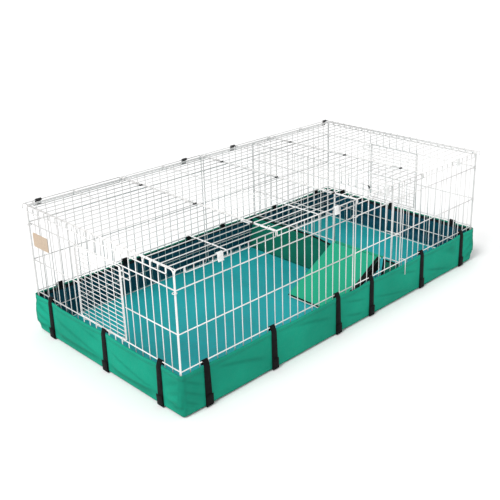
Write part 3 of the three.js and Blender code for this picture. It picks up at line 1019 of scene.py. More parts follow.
@dataclass(frozen=True)
class EndWall:
    """An end wall with a doorway, and the eyes that hold it to the long walls and the door to it."""

    plane: Plane
    hand: str
    inset: float = 3.3 * MM
    door_offset: float = 4 * MM
    eye: float = 3.1 * MM
    corner_eye: float = 5.2 * MM
    corner_eye_drop: float = 7 * MM
    eye_inset: float = 16 * MM
    eye_pitch: float = 53 * MM
    slack: float = 2 * MM
    double: float = 5.5 * MM

    def build(self) -> None:
        """Build the wall."""
        reach = SIZES.side_plane - self.inset
        first, last = SIZES.doorway
        lintel = SIZES.lintel + GAUGE.rail
        opening = Opening(first - self.slack, last + self.slack, SIZES.strap_rail, lintel)
        panel = WirePanel(self.plane, -reach, reach, SIZES.foot, SIZES.top)
        panel.frame()
        panel.uprights(evenly(-reach, reach, SIZES.pitch)[1:-1], opening)
        panel.rails((*SIZES.low_rails, SIZES.strap_rail, opening.lintel), opening)
        for u in (first - self.double, last + self.double):
            start, end = self.plane.at(u, opening.sill), self.plane.at(u, opening.lintel)
            panel.work.rod(start, end, GAUGE.upright, GAUGE.sides)
        for u in (-reach, reach):
            panel.ring(u, opening.lintel - self.corner_eye_drop, self.corner_eye)
        for u in evenly(first + self.eye_inset, last - self.eye_inset, self.eye_pitch):
            panel.work.bent_rod(self.oval(u), GAUGE.thin, 6, closed=True)
        panel.finish(f"wire_wall_end_{self.hand}", "cage", f"wall_end_{self.hand}")

    def oval(self, u: float) -> list[Vector]:
        """Return the path of the eye that ties the door's foot rung to the wall's rail.

        Args:
            u: Where along the door it stands.

        Returns:
            The closed path.
        """
        foot = SIZES.door[0].z + GAUGE.rail
        rail, rung = Vector((GAUGE.rail_layer, SIZES.strap_rail)), Vector((self.door_offset, foot))
        along = (rung - rail).normalized()
        side = Vector((-along.y, along.x)) * self.eye
        points = []
        for centre, first in ((rung, 0), (rail, 180)):
            for step in range(7):
                angle = math.radians(first + step * 30)
                points.append(centre + side * math.cos(angle) + along * self.eye * math.sin(angle))
        return [self.plane.at(u, p.y, p.x) for p in (*points, points[0])]


@dataclass(frozen=True)
class EndDoor:
    """A door of close rungs that drops outward about its foot rung, and its wire latch."""

    plane: Plane
    hand: str
    offset: float = 4 * MM
    rung_pitch: float = 12.1 * MM
    inner_pitch: float = 32 * MM
    double: float = 4.6 * MM
    bend: float = 6 * MM
    latch_bend: float = 8 * MM
    latch_eye: float = 2.6 * MM
    latch_eye_wire: float = 1.1 * MM

    def build(self) -> None:
        """Build the door and its latch."""
        first, last = SIZES.doorway
        low, high = SIZES.door[0].z + GAUGE.rail, SIZES.door[1].z - GAUGE.rail
        work = Workpiece()
        corners = [(last, low), (last, high), (first, high), (first, low)]
        path = [self.plane.at(u, v, self.offset) for u, v in ((0, low), *corners, (0, low))]
        work.bent_rod(rounded(path, self.bend), GAUGE.rail)
        for u in evenly(first + self.double, last - self.double, self.inner_pitch):
            start, end = self.plane.at(u, low, self.offset), self.plane.at(u, high, self.offset)
            outer = min(u - first, last - u) < self.double + MM
            work.rod(start, end, GAUGE.upright if outer else GAUGE.thin, GAUGE.sides)
        for v in evenly(low, high, self.rung_pitch)[1:-1]:
            ends = [self.plane.at(u, v, self.offset + GAUGE.layer) for u in (first - MM, last + MM)]
            work.rod(*ends, GAUGE.thin, GAUGE.sides)
        settle(work.finish(f"wire_door_{self.hand}", Finish.WIRE), f"door_{self.hand}", f"door_{self.hand}")
        self.latch()

    def latch(self) -> None:
        """Build the U-shaped latch wire and its eye on the door's upright."""
        low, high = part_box(f"door_latch_{self.hand}")
        middle, depth = (low + high) / 2, (high - low)
        axis, reach = self.plane.v, self.plane.u * (depth.y / 2 - GAUGE.hook)
        rise = axis * (depth.z / 2 - GAUGE.hook)
        upper, lower = middle + rise, middle - rise
        corners = [upper + reach, upper - reach, lower - reach, lower + reach]
        work = Workpiece()
        work.bent_rod(rounded(corners, self.latch_bend, 6), GAUGE.hook)
        for corner in (corners[0], corners[3]):
            work.eye(corner, axis, self.latch_eye, self.latch_eye_wire)
        piece = work.finish(f"wire_latch_{self.hand}", Finish.WIRE)
        settle(piece, f"door_latch_{self.hand}", f"door_latch_{self.hand}")


@dataclass(frozen=True)
class LidSection:
    """One of the lid's four folding sections: long wires over cross-wires that bend down to a lip."""

    name: str
    body: str
    first: float
    last: float
    outer_end: int = 0
    pitch: float = 26 * MM
    drop: float = 13.5 * MM
    bend: float = 5 * MM
    end_bend: float = 9 * MM
    notch: float = 24 * MM
    long_rise: float = 0.6 * MM
    cross_fall: float = 0.3 * MM
    cross_inset: float = 8 * MM
    end_wire: float = 1.4 * MM

    def build(self) -> None:
        """Build the section."""
        work = Workpiece()
        side, high = SIZES.lid_side, SIZES.lid_plane
        low = high - self.drop
        crosses = [self.first, (self.first + self.last) / 2, self.last]
        if self.outer_end:
            crosses[0 if self.outer_end < 0 else 2] -= self.outer_end * self.cross_inset
        for x in crosses:
            z = high - self.cross_fall
            path = [Vector((x, *at)) for at in ((-side, low), (-side, z), (side, z), (side, low))]
            at_corner = self.outer_end and abs(x) > SIZES.lid_end - self.end_bend
            work.bent_rod(path[1:3] if at_corner else rounded(path, self.bend), GAUGE.cross)
        for y in evenly(-side, side, self.pitch)[1:-1]:
            z = high + self.long_rise
            path = [Vector((self.first, y, z)), Vector((self.last, y, z))]
            if self.outer_end < 0 and abs(y) < side - self.notch:
                path = [Vector((self.first, y, low)), *path]
            if self.outer_end > 0 and abs(y) < side - self.notch:
                path = [*path, Vector((self.last, y, low))]
            work.bent_rod(rounded(path, self.end_bend), GAUGE.edge, GAUGE.sides)
        self.lips(work, side, low)
        nodes = [f"lid_{self.name}"]
        if self.outer_end:
            nodes.append("lid_lip_left" if self.outer_end < 0 else "lid_lip_right")
        settle(work.finish(f"wire_lid_{self.name}", Finish.WIRE), self.body, *nodes)

    def lips(self, work: Workpiece, side: float, low: float) -> None:
        """Add the lip wire, which runs round the outer end where there is one.

        Args:
            work: The section under construction.
            side: Distance of the side wires from the centre line.
            low: Height of the lip.
        """
        if not self.outer_end:
            for y in (-side, side):
                for z, radius in ((low, GAUGE.cross), (low + self.drop, GAUGE.edge)):
                    work.rod(Vector((self.first, y, z)), Vector((self.last, y, z)), radius, GAUGE.sides)
            return
        inner, outer = (self.last, self.first) if self.outer_end < 0 else (self.first, self.last)
        high = low + self.drop + self.long_rise
        reach = side - self.notch
        turns = ((-reach, high), (-reach, low), (reach, low), (reach, high))
        end = [Vector((outer, *at)) for at in turns]
        work.bent_rod(rounded(end, self.bend), self.end_wire)
        start = outer - self.outer_end * self.notch * 1.3
        for y in (-side, side):
            edge = [Vector((inner, y, high)), Vector((outer, y, high)), Vector((outer, y, low + 2 * MM))]
            work.bent_rod(rounded(edge, self.end_bend), GAUGE.edge)
            path = [Vector((start, y, high)), Vector((start, y, low)), Vector((inner, y, low))]
            work.bent_rod(rounded(path, self.bend), GAUGE.cross)


@dataclass(frozen=True)
class Lid:
    """The four sections, the rings that join them and the hooks that lie over the joints."""

    edge: float = 2.3 * MM
    ring: float = 5.0 * MM
    ring_wire: float = 0.8 * MM
    ring_stations: tuple[float, ...] = (-286 * MM, -130 * MM, 104 * MM, 286 * MM)
    hinge_height: float = 1.8 * MM
    tip: float = 2.3 * MM
    hook_eye: float = 2.4 * MM
    hook_wire: float = 1.0 * MM

    def build(self) -> None:
        """Build the lid."""
        fold, end = SIZES.fold, SIZES.lid_end
        inner, outer = fold - self.edge, fold + self.edge
        sections = (
            ("outer_left", "lid_outer_left", -end, -outer, -1),
            ("inner_left", "lid_inner_left", -inner, -self.edge, 0),
            ("inner_right", "cage", self.edge, inner, 0),
            ("outer_right", "lid_outer_right", outer, end, 1),
        )
        for section in sections:
            LidSection(*section).build()
        joints = (
            ("left", -fold, "lid_inner_left", "lid_outer_left"),
            ("middle", 0.0, "cage", "lid_inner_left"),
            ("right", fold, "cage", "cage"),
        )
        for name, x, ring_body, hook_body in joints:
            self.rings(name, x, ring_body)
            for index in (1, 2, 3):
                self.hook(f"lid_hook_{name}_{index}", hook_body)

    def rings(self, name: str, x: float, body: str) -> None:
        """Build the rings of one joint line, centred on its hinge axis.

        Args:
            name: The joint line's name.
            x: Where it is.
            body: The body that the rings move with.
        """
        work = Workpiece()
        for y in self.ring_stations:
            centre = Vector((x, y, SIZES.lid_plane + self.hinge_height))
            work.eye(centre, Y_AXIS, self.ring, self.ring_wire, 14, 6)
        settle(work.finish(f"lid_rings_{name}", Finish.WIRE), body)

    def hook(self, node: str, body: str) -> None:
        """Build one U-shaped hook and the black sleeve over its round end.

        Args:
            node: The hook's node.
            body: The body that it moves with.
        """
        low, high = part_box(node)
        z, inset = (low.z + high.z) / 2, GAUGE.hook
        flat = Plane(Z_AXIS * z, X_AXIS, Y_AXIS, Z_AXIS)
        middle, radius = (low.x + high.x) / 2, (high.x - low.x) / 2 - inset
        centre = (middle, low.y + inset + radius)
        bow = arc(flat, centre, radius, 180, 360, 10)
        start, end = Vector((low.x + inset, high.y - inset, z)), Vector((high.x - inset, high.y - inset, z))
        work = Workpiece()
        work.bent_rod([start, *bow, end], inset, 8)
        for corner in (start, end):
            work.eye(corner - Z_AXIS * GAUGE.edge, X_AXIS, self.hook_eye, self.hook_wire, 12, 6)
        settle(work.finish(f"wire_{node}", Finish.WIRE), body, node)
        sleeve = Workpiece()
        sleeve.bent_rod(arc(flat, centre, radius, 198, 342, 8), self.tip, GAUGE.sides)
        settle(sleeve.finish(f"tip_{node}", Finish.BLACK_CLIP), body)


@dataclass(frozen=True)
class Clips:
    """Moulded clips that hang from the lid's edge: white along the front and black along the back."""

    thickness: float = 1.6 * MM
    grip: float = 2.5 * MM
    lip: float = 3.2 * MM
    lip_height: float = 5 * MM
    pivot_rise: float = 0.3 * MM

    def build(self) -> None:
        """Build the eight clips."""
        for side, plane, finish in (("front", FRONT, Finish.WHITE_CLIP), ("back", BACK, Finish.BLACK_CLIP)):
            for index in (1, 2, 3, 4):
                self.clip(f"clip_{side}_{index}", plane, finish)

    def clip(self, node: str, plane: Plane, finish: Finish) -> None:
        """Build one clip: a hook over the lid's side wire, a tongue and a turned-out thumb lip.

        Args:
            node: The clip's node.
            plane: The wall's plane.
            finish: The clip's finish.
        """
        low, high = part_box(node)
        x = (low.x + high.x) / 2
        section = Plane(Vector((x, plane.origin.y, 0)), plane.n, Z_AXIS, X_AXIS)
        pivot = (SIZES.lid_side - SIZES.side_plane, SIZES.lid_plane + self.pivot_rise)
        radius = self.grip + self.thickness / 2
        path = arc(section, pivot, radius, 215, 0, 9)
        tongue = pivot[0] + radius
        path.append(section.at(tongue, low.z + self.lip_height))
        path.append(section.at(tongue + self.lip, low.z + self.thickness / 2))
        work = Workpiece()
        work.ribbon(path, Vector((high.x - low.x - MM, 0, 0)))
        piece = work.finish(f"moulded_{node}", finish, closed=False)
        thicken(piece, self.thickness, 0.0)
        soften(piece, 0.45 * MM)
        settle(piece, node, node)


# ---------------------------------------------------------------- cloth


def ease(value: float, low: float, high: float) -> float:
    """Step smoothly from 0 at low to 1 at high."""
    t = min(1.0, max(0.0, (value - low) / (high - low)))
    return t * t * (3 - 2 * t)


def ripple(point: Vector, scale: float, seed: float = 0.0) -> float:
    """Return smooth noise from -1 to 1 at a point."""
    return noise.noise(point * scale + Vector((seed, seed * 1.7, -seed)))


def strap_stations(side: str) -> list[float]:
    """Return the places of one wall's straps along it.

    Args:
        side: front, back, left or right.

    Returns:
        A place for each strap.
    """
    axis = 0 if side in ("front", "back") else 1
    count = 6 if axis == 0 else 3
    boxes = [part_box(f"strap_{side}_{i}") for i in range(1, count + 1)]
    return [(low[axis] + high[axis]) / 2 for low, high in boxes]


@dataclass(frozen=True)
class CanvasTray:
    """The canvas tray: soft corners, walls that belly between the straps, creases and a bound hem."""

    thickness: float = 2.5 * MM
    corner: float = 9 * MM
    foot_radius: float = 8 * MM
    cell: float = 7.5 * MM
    belly: float = 5.5 * MM
    hem_depth: float = 12 * MM
    hem_step: float = 0.8 * MM
    corner_lift: float = 1.0 * MM
    corner_tuck: float = 0.5 * MM
    hem_sag: float = 1.6 * MM
    ledge: float = 4.0 * MM
    pleat: float = 3.2 * MM
    floor_fold: float = 1.4 * MM
    fold_pitch: float = 151 * MM

    def build(self) -> None:
        """Build the tray."""
        low, high = SIZES.tray
        size = high - low
        work = Workpiece()
        work.box(low, high)
        top = [f for f in work.bm.faces if f.normal.z > 0.5]
        bmesh.ops.delete(work.bm, geom=top, context="FACES_ONLY")
        upright = [e for e in work.bm.edges if abs(e.verts[0].co.z - e.verts[1].co.z) > size.z / 2]
        work.bevel(upright, self.corner, 5)
        foot = [e for e in work.bm.edges if all(v.co.z < low.z + MM for v in e.verts)]
        work.bevel(foot, self.foot_radius, 4)
        work.slice_up(X_AXIS, low.x, high.x, self.cell)
        work.slice_up(Y_AXIS, low.y, high.y, self.cell)
        work.slice_up(Z_AXIS, low.z, high.z, self.cell * 0.6)
        for height in (self.hem_depth, self.hem_depth + MM):
            work.cut(Z_AXIS * (high.z - height), Z_AXIS)
        work.bm.normal_update()
        self.shape(work.bm, high)
        piece = work.finish("canvas_tray_shell", Finish.CANVAS, closed=False)
        piece.data.materials.append(Wardrobe.material(Finish.LINING))
        thicken(piece, self.thickness)
        piece.modifiers["thickness"].material_offset = 1
        settle(piece, "cage", "canvas_tray")

    def shape(self, mesh: bmesh.types.BMesh, high: Vector) -> None:
        """Move the shell's points into a soft tray.

        Args:
            mesh: The shell.
            high: The tray's highest corner.
        """
        straps = {side: strap_stations(side) for side in ("front", "back", "left", "right")}
        # The fold attribute holds painted shade for the canvas's creases, pleats, ledge and corners.
        painted_crease_shade = mesh.verts.layers.float.new("fold")
        mesh.verts.index_update()
        normals = {v.index: v.normal.copy() for v in mesh.verts}
        for vert in mesh.verts:
            place, normal = vert.co.copy(), normals.get(vert.index, vert.normal)
            upright = 1 - abs(normal.z)
            if upright > 0.5:
                outward = Vector((normal.x, normal.y, 0)).normalized()
                reach, line = self.wall_swell(place, outward, straps, high)
                vert.co += outward * reach
                vert[painted_crease_shade] = line
            near_x = ease(abs(place.x), high.x - 90 * MM, high.x)
            near_y = ease(abs(place.y), high.y - 80 * MM, high.y)
            low_part = 1 - ease(place.z, 0, 62 * MM)
            slump = near_x * near_y * low_part * (0.45 if place.x < 0 and place.y < 0 else 1.0)
            inward = Vector((-math.copysign(1, place.x), -math.copysign(0.8, place.y), 0))
            vert.co += inward * self.corner_tuck * slump
            vert.co.z += self.corner_lift * slump * (0.8 + 0.2 * ripple(place, 7.0))
            station = place.x if abs(normal.y) > abs(normal.x) else place.y
            gap = min(abs(station - s) for s in straps["front" if abs(normal.y) > abs(normal.x) else "left"])
            sag = ease(gap, 14 * MM, 70 * MM) * ease(place.z, 55 * MM, high.z) * (1 - near_x * near_y)
            vert.co.z -= self.hem_sag * sag * upright
            if upright <= 0.5:
                vert.co.z += self.floor_rise(place)

    def wall_swell(
        self, place: Vector, outward: Vector, straps: dict[str, list[float]], high: Vector
    ) -> tuple[float, float]:
        """Return how far a wall's point stands out of its plane, and the painted shade of its folds there.

        Args:
            place: The point.
            outward: The wall's normal.
            straps: Each wall's strap places.
            high: The tray's highest corner.

        Returns:
            The distance, and the painted shade from 0 to 1.
        """
        long_wall = abs(outward.y) > abs(outward.x)
        names, depth = (("front", "back"), outward.y) if long_wall else (("left", "right"), outward.x)
        side = names[0] if depth < 0 else names[1]
        station = place.x if long_wall else place.y
        nearest = min(abs(station - s) for s in straps[side])
        free = ease(nearest, 11 * MM, 60 * MM)
        z = place.z
        body = ease(z, 4 * MM, 38 * MM) * (1 - 0.6 * ease(z, 62 * MM, high.z))
        swell = self.belly * (0.5 + 1.1 * ripple(place, 5.0, 2.0)) * free * body
        slant = station * (0.55 if long_wall else -0.4) + z * 1.9
        crease = 1 - min(1.0, abs(ripple(Vector((slant, z * 0.8, 0.3)), 8.0, 5.0)) / 0.13)
        # Painted shade along the slanting creases.
        line = 0.7 * crease * free * ease(z, 8 * MM, 30 * MM) * (1 - ease(z, 80 * MM, 98 * MM))
        swell -= 2.4 * MM * line
        if not long_wall:
            edge = z - 6 * MM * ripple(Vector((station, 0.0, 0.0)), 7.0, 9.0)
            swell += self.ledge * ease(edge, 27 * MM, 34 * MM) * (1 - ease(edge, 38 * MM, 84 * MM)) * free
            # Painted shade under the ledge.
            under = (1 - ease(edge, 28 * MM, 36 * MM)) * ease(edge, 4 * MM, 27 * MM)
            line = max(line, 0.8 * under * (0.4 + 0.6 * free))
        corner = (high.x if long_wall else high.y) - abs(station)
        beside = (1 - ease(corner, 18 * MM, 85 * MM)) * ease(corner, 2 * MM, 14 * MM)
        near = beside * ease(z, 8 * MM, 25 * MM)
        pleat = math.sin(math.tau * (z + 0.62 * corner + 6 * MM * ripple(place, 20.0, 8.0)) / (27 * MM))
        loose = near * (1 - ease(z, 82 * MM, 102 * MM))
        swell += self.pleat * max(0.0, pleat) * loose
        # Painted shade in the pleats' troughs.
        line = max(line, 0.75 * max(0.0, -pleat) ** 2 * loose)
        wave = 0.9 * MM * ripple(place, 11.0, 4.0) * ease(z, 60 * MM, high.z) * free
        step = self.hem_step if z > high.z - self.hem_depth - 0.5 * MM else 0.0
        # This darkens the rounded corners.
        seam = 1 - ease(corner, 9 * MM, 16 * MM)
        return min(7.5 * MM, max(-0.3 * MM, swell + wave)) + step, max(line, 0.55 * seam)

    def floor_rise(self, place: Vector) -> float:
        """Return the height of the floor's fold lines and slack.

        Args:
            place: The floor's point.

        Returns:
            How far it rises.
        """
        offset = (place.x + 40 * MM) / self.fold_pitch
        distance = abs(offset - round(offset)) * self.fold_pitch
        ridge = self.floor_fold * math.exp(-((distance / (9 * MM)) ** 2))
        ridge *= 0.7 + 0.6 * ripple(place, 4.0, 1.0)
        cross = abs(place.y - 6 * MM)
        ridge += self.floor_fold * 0.7 * math.exp(-((cross / (10 * MM)) ** 2))
        return max(0.0, ridge + 0.4 * MM * ripple(place, 16.0, 3.0))


@dataclass(frozen=True)
class Strap:
    """A webbing strap: a tail inside, over the rail, down the outside and doubled near the foot."""

    node: str
    plane: Plane
    station: float
    seed: float
    thickness: float = 1.4 * MM
    width: float = 20 * MM
    outside: float = 6.7 * MM
    inside: float = -2.7 * MM
    tail: float = 107 * MM
    foot: float = 4 * MM
    doubled: float = 32 * MM
    lean: float = 3.5 * MM

    def build(self) -> None:
        """Build the strap, with the slack and twist of a hand-threaded one."""
        rail = SIZES.strap_rail
        points = [(self.inside, self.tail + i * 5 * MM) for i in range(3)]
        for step in range(7):
            angle = math.radians(180 - 30 * step)
            over, up = 3.0 * MM * math.cos(angle), 2.9 * MM * math.sin(angle)
            points.append((0.4 * MM + over, rail + 0.5 * MM + up))
        points += [(5.0 * MM, rail - 4 * MM), (self.outside, rail - 9 * MM)]
        drop = evenly(rail - 15 * MM, self.foot, 7 * MM)
        for z in drop:
            slack = 0.9 * MM * (1 + ripple(Vector((self.seed, z * 22, 0)), 1.0)) * ease(z, 4 * MM, 20 * MM)
            points.append((self.outside + slack * 0.6, z))
        points.append((self.outside + 1.5 * MM, self.foot - 2.4 * MM))
        for z in evenly(self.foot, self.doubled, 7 * MM):
            crinkle = 0.7 * MM * ripple(Vector((self.seed, 3, z * 30)), 1.0)
            points.append((self.outside + 3.2 * MM + crinkle, z))
        corners = [Vector(p) for p in points]
        path = [self.plane.at(self.station, z, n) for n, z in points]
        work = Workpiece()
        work.ribbon(path, self.plane.u * self.width)
        twist = 0.9 * MM * math.sin(self.seed * 5)
        for vert in work.bm.verts:
            across = (vert.co - self.plane.at(self.station, 0)).dot(self.plane.u) / (self.width / 2)
            pinch = 0.22 * ease(vert.co.z, 84 * MM, 108 * MM) - 0.04
            vert.co -= self.plane.u * across * pinch * self.width / 2
            free = ease(vert.co.z, 6 * MM, 40 * MM) * (1 - ease(vert.co.z, 70 * MM, 100 * MM))
            vert.co += self.plane.n * max(0.0, twist * across) * free
            loose = 1 - ease(vert.co.z, 70 * MM, 118 * MM)
            wander = ripple(Vector((self.seed, vert.co.z * 14, 7)), 1.0) * 3.6 * MM + self.lean
            vert.co += self.plane.u * wander * loose
        piece = work.finish(f"webbing_{self.node}", Finish.WEBBING, closed=False)
        thicken(piece, self.thickness, 0.0)
        soften(piece, 0.3 * MM, 1)
        settle(piece, "cage", self.node)


def build_straps() -> None:
    """Build every strap of the four walls."""
    walls = (("front", FRONT, 1, 6), ("back", BACK, 1, 6), ("left", LEFT, 1, 3), ("right", RIGHT, -1, 3))
    for side, plane, sign, count in walls:
        for index in range(count):
            station = strap_stations(side)[index] * sign
            Strap(f"strap_{side}_{index + 1}", plane, station, 1.3 * index + 0.7 * len(side)).build()


def cloth_patch(place: Callable[[float, float], Vector], columns: int, rows: int) -> Workpiece:
    """Map a flat grid onto a surface.

    Args:
        place: Gives the point for two numbers from 0 to 1.
        columns: Cells along the first.
        rows: Cells along the second.

    Returns:
        The grid under construction.
    """
    work = Workpiece()
    bmesh.ops.create_grid(work.bm, x_segments=columns, y_segments=rows, size=0.5)
    for vert in work.bm.verts:
        vert.co = place(vert.co.x + 0.5, vert.co.y + 0.5)
    return work


def bind(
    place: Callable[[float, float], Vector], cells: tuple[int, int], name: str, body: str
) -> bpy.types.Object:
    """Lay a webbing binding over a cloth.

    Args:
        place: Gives the point for two numbers from 0 to 1.
        cells: Cells along each.
        name: The binding's name.
        body: The body it moves with.

    Returns:
        The binding.
    """
    trim = cloth_patch(place, *cells).finish(name, Finish.WEBBING, closed=False)
    thicken(trim, TRIM, 0.0)
    return settle(trim, body)


@dataclass(frozen=True)
class Skirt:
    """A cloth skirt that leans against the divider, bound along its top."""

    node: str
    seed: float
    thickness: float = 2 * MM
    binding: float = 5 * MM
    bound_side: float = 0.0
    droops: bool = False

    def build(self) -> None:
        """Build the skirt and its binding."""
        low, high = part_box(self.node)
        height = high.z - low.z

        def place(s: float, t: float) -> Vector:
            """Return a point of the skirt, s along it and t up it."""
            y = low.y + (high.y - low.y) * s
            lean = low.x + self.thickness + (high.x - low.x - self.thickness * 1.2) * t
            soft = math.sin(math.pi * t)
            wrinkle = ripple(Vector((y * 9, t * 1.4 + y * 3, self.seed)), 1.0) * 5 * MM
            crest = abs(ripple(Vector((y * 5 + t * 1.5, t, self.seed)), 1.0)) / 0.12
            fold = (1 - min(1.0, crest)) * 2.5 * MM
            droop = 9 * MM * ease(-y, -low.y - 90 * MM, -low.y) * t if self.droops else 0.0
            return Vector((lean + min(0.0, (wrinkle - fold)) * soft, y, low.z + height * t - droop))

        columns = round((high.y - low.y) / (5 * MM))
        work = cloth_patch(place, columns, 24)
        # The skirt's finish is the cover cloth's green, painted darker as shade.
        piece = work.finish(f"cloth_{self.node}", Finish.SHADED_SKIRT, closed=False)
        thicken(piece, self.thickness, 0.0)
        settle(piece, "cage", self.node)
        lip = 1 - self.binding / height

        def edge(s: float, t: float) -> Vector:
            """Return a point of the top binding."""
            point = place(s, lip + (1 - lip) * t)
            return point - Vector((self.thickness * 0.95, 0, 0))

        trims = [bind(edge, (columns, 3), f"binding_{self.node}", "cage")]
        if self.bound_side:
            border = self.bound_side / (high.y - low.y)

            def side(s: float, t: float) -> Vector:
                """Return a point of the side binding."""
                return place(1 - border * (1 - s), t * lip) - Vector((self.thickness * 0.95, 0, 0))

            trims.append(bind(side, (3, 24), f"side_binding_{self.node}", "cage"))


# ---------------------------------------------------------------- divider and ramp


@dataclass(frozen=True)
class Divider:
    """The inner wall with its doorway, its latch hook and the hook end over the front rail."""

    frame_inset: float = 1.5 * MM
    rail_heights: tuple[float, ...] = (55 * MM, 200 * MM)
    doorway: tuple[float, float] = (54.7 * MM, 192 * MM)
    sill: float = 115 * MM
    lintel: float = 308 * MM
    sleeve: float = 2.5 * MM
    sleeve_inset: float = 4 * MM
    hook_reach: tuple[float, float] = (12 * MM, 11.5 * MM)
    hook_rise: float = 5 * MM
    hook_drop: float = 41 * MM
    tip: float = 1.95 * MM

    def build(self) -> None:
        """Build the divider."""
        low, high = SIZES.divider
        x = (low.x + high.x) / 2
        plane = Plane(X_AXIS * x, Y_AXIS, Z_AXIS, X_AXIS)
        first = low.y + self.doorway[0]
        opening = Opening(first, first + self.doorway[1], self.sill, self.lintel)
        inset = self.frame_inset
        panel = WirePanel(plane, low.y + inset, high.y - inset, low.z + inset, high.z - inset)
        panel.frame()
        stations = evenly(panel.first, panel.last, SIZES.pitch)[1:-1]
        panel.uprights(stations, opening)
        panel.rails((*self.rail_heights, opening.sill, opening.lintel), opening)
        for u in (opening.first, opening.last):
            panel.work.rod(plane.at(u, opening.sill), plane.at(u, opening.lintel), GAUGE.rail, GAUGE.sides)
        sleeve = Workpiece()
        ends = (opening.first + self.sleeve_inset, opening.last - self.sleeve_inset)
        sleeve.rod(*(plane.at(u, opening.sill) for u in ends), self.sleeve)
        settle(sleeve.finish("sill_sleeve", Finish.COVER), "cage")
        inside, outside = low.y + 3 * MM, low.y - self.hook_reach[1]
        rail = SIZES.strap_rail
        over, out = rail + self.hook_rise, x + self.hook_reach[0]
        hook = [Vector((x, inside, over)), Vector((out, inside, over))]
        hook += [Vector((out, outside, over)), Vector((out, outside, rail - self.hook_drop))]
        panel.work.bent_rod(rounded(hook, self.hook_rise), GAUGE.hook)
        panel.finish("wire_divider", "cage", "divider_panel")
        self.latch()

    def latch(self) -> None:
        """Build the latch hook and its black end."""
        low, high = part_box("divider_latch")
        inset = GAUGE.hook
        flat = Plane(X_AXIS * ((low.x + high.x) / 2), Y_AXIS, Z_AXIS, X_AXIS)
        radius = (high.z - low.z) / 2 - inset
        centre = (low.y + inset + radius, (low.z + high.z) / 2)
        bow = arc(flat, centre, radius, 270, 90, 10)
        ends = [flat.at(high.y - inset, low.z + inset), flat.at(high.y - inset, high.z - inset)]
        work = Workpiece()
        work.bent_rod([ends[0], *bow, ends[1]], inset, 8)
        settle(work.finish("wire_divider_latch", Finish.WIRE), "cage", "divider_latch")
        sleeve = Workpiece()
        sleeve.bent_rod(arc(flat, centre, radius, 252, 108, 8), self.tip, GAUGE.sides)
        settle(sleeve.finish("tip_divider_latch", Finish.BLACK_CLIP), "cage")


@dataclass(frozen=True)
class Ramp:
    """The folding ramp: a wire ladder with a cloth cover, bound at its foot and along its front side."""

    rung_pitch: float = 24 * MM
    cover_base: float = 1.9 * MM
    cover_thickness: float = 2.2 * MM
    foot_band: float = 4 * MM
    side_band: float = 9 * MM
    valance: float = 17 * MM
    head_valance: float = 16 * MM
    head_run: float = 90 * MM
    head_sleeve: float = 2.1 * MM
    cover_start: float = 5.5 * MM
    overhang: float = 1.5 * MM
    bend: float = 6 * MM

    def build(self) -> None:
        """Build the ladder and the cover."""
        low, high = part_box("ramp_wire")
        half = (high.y - low.y) / 2 - 1.5 * MM
        head = Vector((high.x - 1.4 * MM, (low.y + high.y) / 2, high.z - 1.5 * MM))
        foot = Vector((low.x + 1.4 * MM, head.y, low.z + 1.5 * MM))
        along = (foot - head).normalized()
        plane = Plane(head, along, Y_AXIS, Y_AXIS.cross(along).normalized())
        length = (foot - head).length
        self.ladder(plane, length, half)
        self.cover(plane, length, half)

    def ladder(self, plane: Plane, length: float, half: float) -> None:
        """Build the wire ladder.

        Args:
            plane: The ramp's plane, from its head down.
            length: The ramp's length.
            half: Half its width.
        """
        work = Workpiece()
        corners = ((0, half), (length, half), (length, -half), (0, -half))
        points = [plane.at(*at) for at in ((0, 0), *corners, (0, 0))]
        work.bent_rod(rounded(points, self.bend), GAUGE.rail)
        for u in evenly(0, length, self.rung_pitch)[1:-1]:
            work.rod(plane.at(u, -half), plane.at(u, half), GAUGE.upright, GAUGE.sides)
        for v in (-half / 2, 0.0, half / 2):
            work.rod(plane.at(0, v), plane.at(length, v), GAUGE.thin, GAUGE.sides)
        settle(work.finish("wire_ramp", Finish.WIRE), "ramp", "ramp_wire")

    def cover(self, plane: Plane, length: float, half: float) -> None:
        """Build the cloth cover, its bands, its valance and the sleeve over the head wire.

        Args:
            plane: The ramp's plane, from its head down.
            length: The ramp's length.
            half: Half its width.
        """
        rise = self.cover_base + self.cover_thickness / 2
        start, width = self.cover_start, 2 * half + self.overhang

        def surface(u: float, v: float, lift: float = 0.0) -> Vector:
            """Return a point of the cover, u down the ramp and v across it, raised by a lift."""
            rung = math.cos(math.tau * u / self.rung_pitch) * 0.35 * MM
            slack = ripple(Vector((u * 9, v * 9, 2)), 1.0) * 0.8 * MM
            return plane.at(u, v, rise + max(0.0, rung + slack + 0.4 * MM) + lift)

        def place(s: float, t: float) -> Vector:
            """Return a point of the cover."""
            return surface(start + (length - start) * s, (t - 0.5) * width)

        piece = cloth_patch(place, 56, 44).finish("cloth_ramp", Finish.COVER, closed=False)
        thicken(piece, self.cover_thickness, 0.0)
        settle(piece, "ramp", "ramp_cover")
        lift = self.cover_thickness * 0.62

        def foot(s: float, t: float) -> Vector:
            """Return a point of the foot band."""
            return surface(length - self.foot_band * (1 - s), (t - 0.5) * width, lift)

        def side(s: float, t: float) -> Vector:
            """Return a point of the side band."""
            return surface(start + (length - start) * s, -width / 2 + self.side_band * t, lift)

        def drop(s: float, t: float) -> Vector:
            """Return a point of the valance that hangs from the ramp's side."""
            u = start + (length - start) * s
            depth = self.valance + self.head_valance * (1 - ease(u, 0, self.head_run))
            room = min(depth, (length - u) * -plane.u.z + 2 * MM)
            return plane.at(u, -width / 2 - 0.9 * MM, rise + lift) - Vector((0, 0, t * room))

        sleeve = Workpiece()
        sleeve.rod(plane.at(0, -half), plane.at(0, half), self.head_sleeve, 12)
        bands = [settle(sleeve.finish("head_sleeve", Finish.COVER), "ramp")]
        for name, band, cells in (("foot", foot, (4, 44)), ("side", side, (56, 4)), ("drop", drop, (56, 5))):
            bands.append(bind(band, cells, f"binding_ramp_{name}", "ramp"))


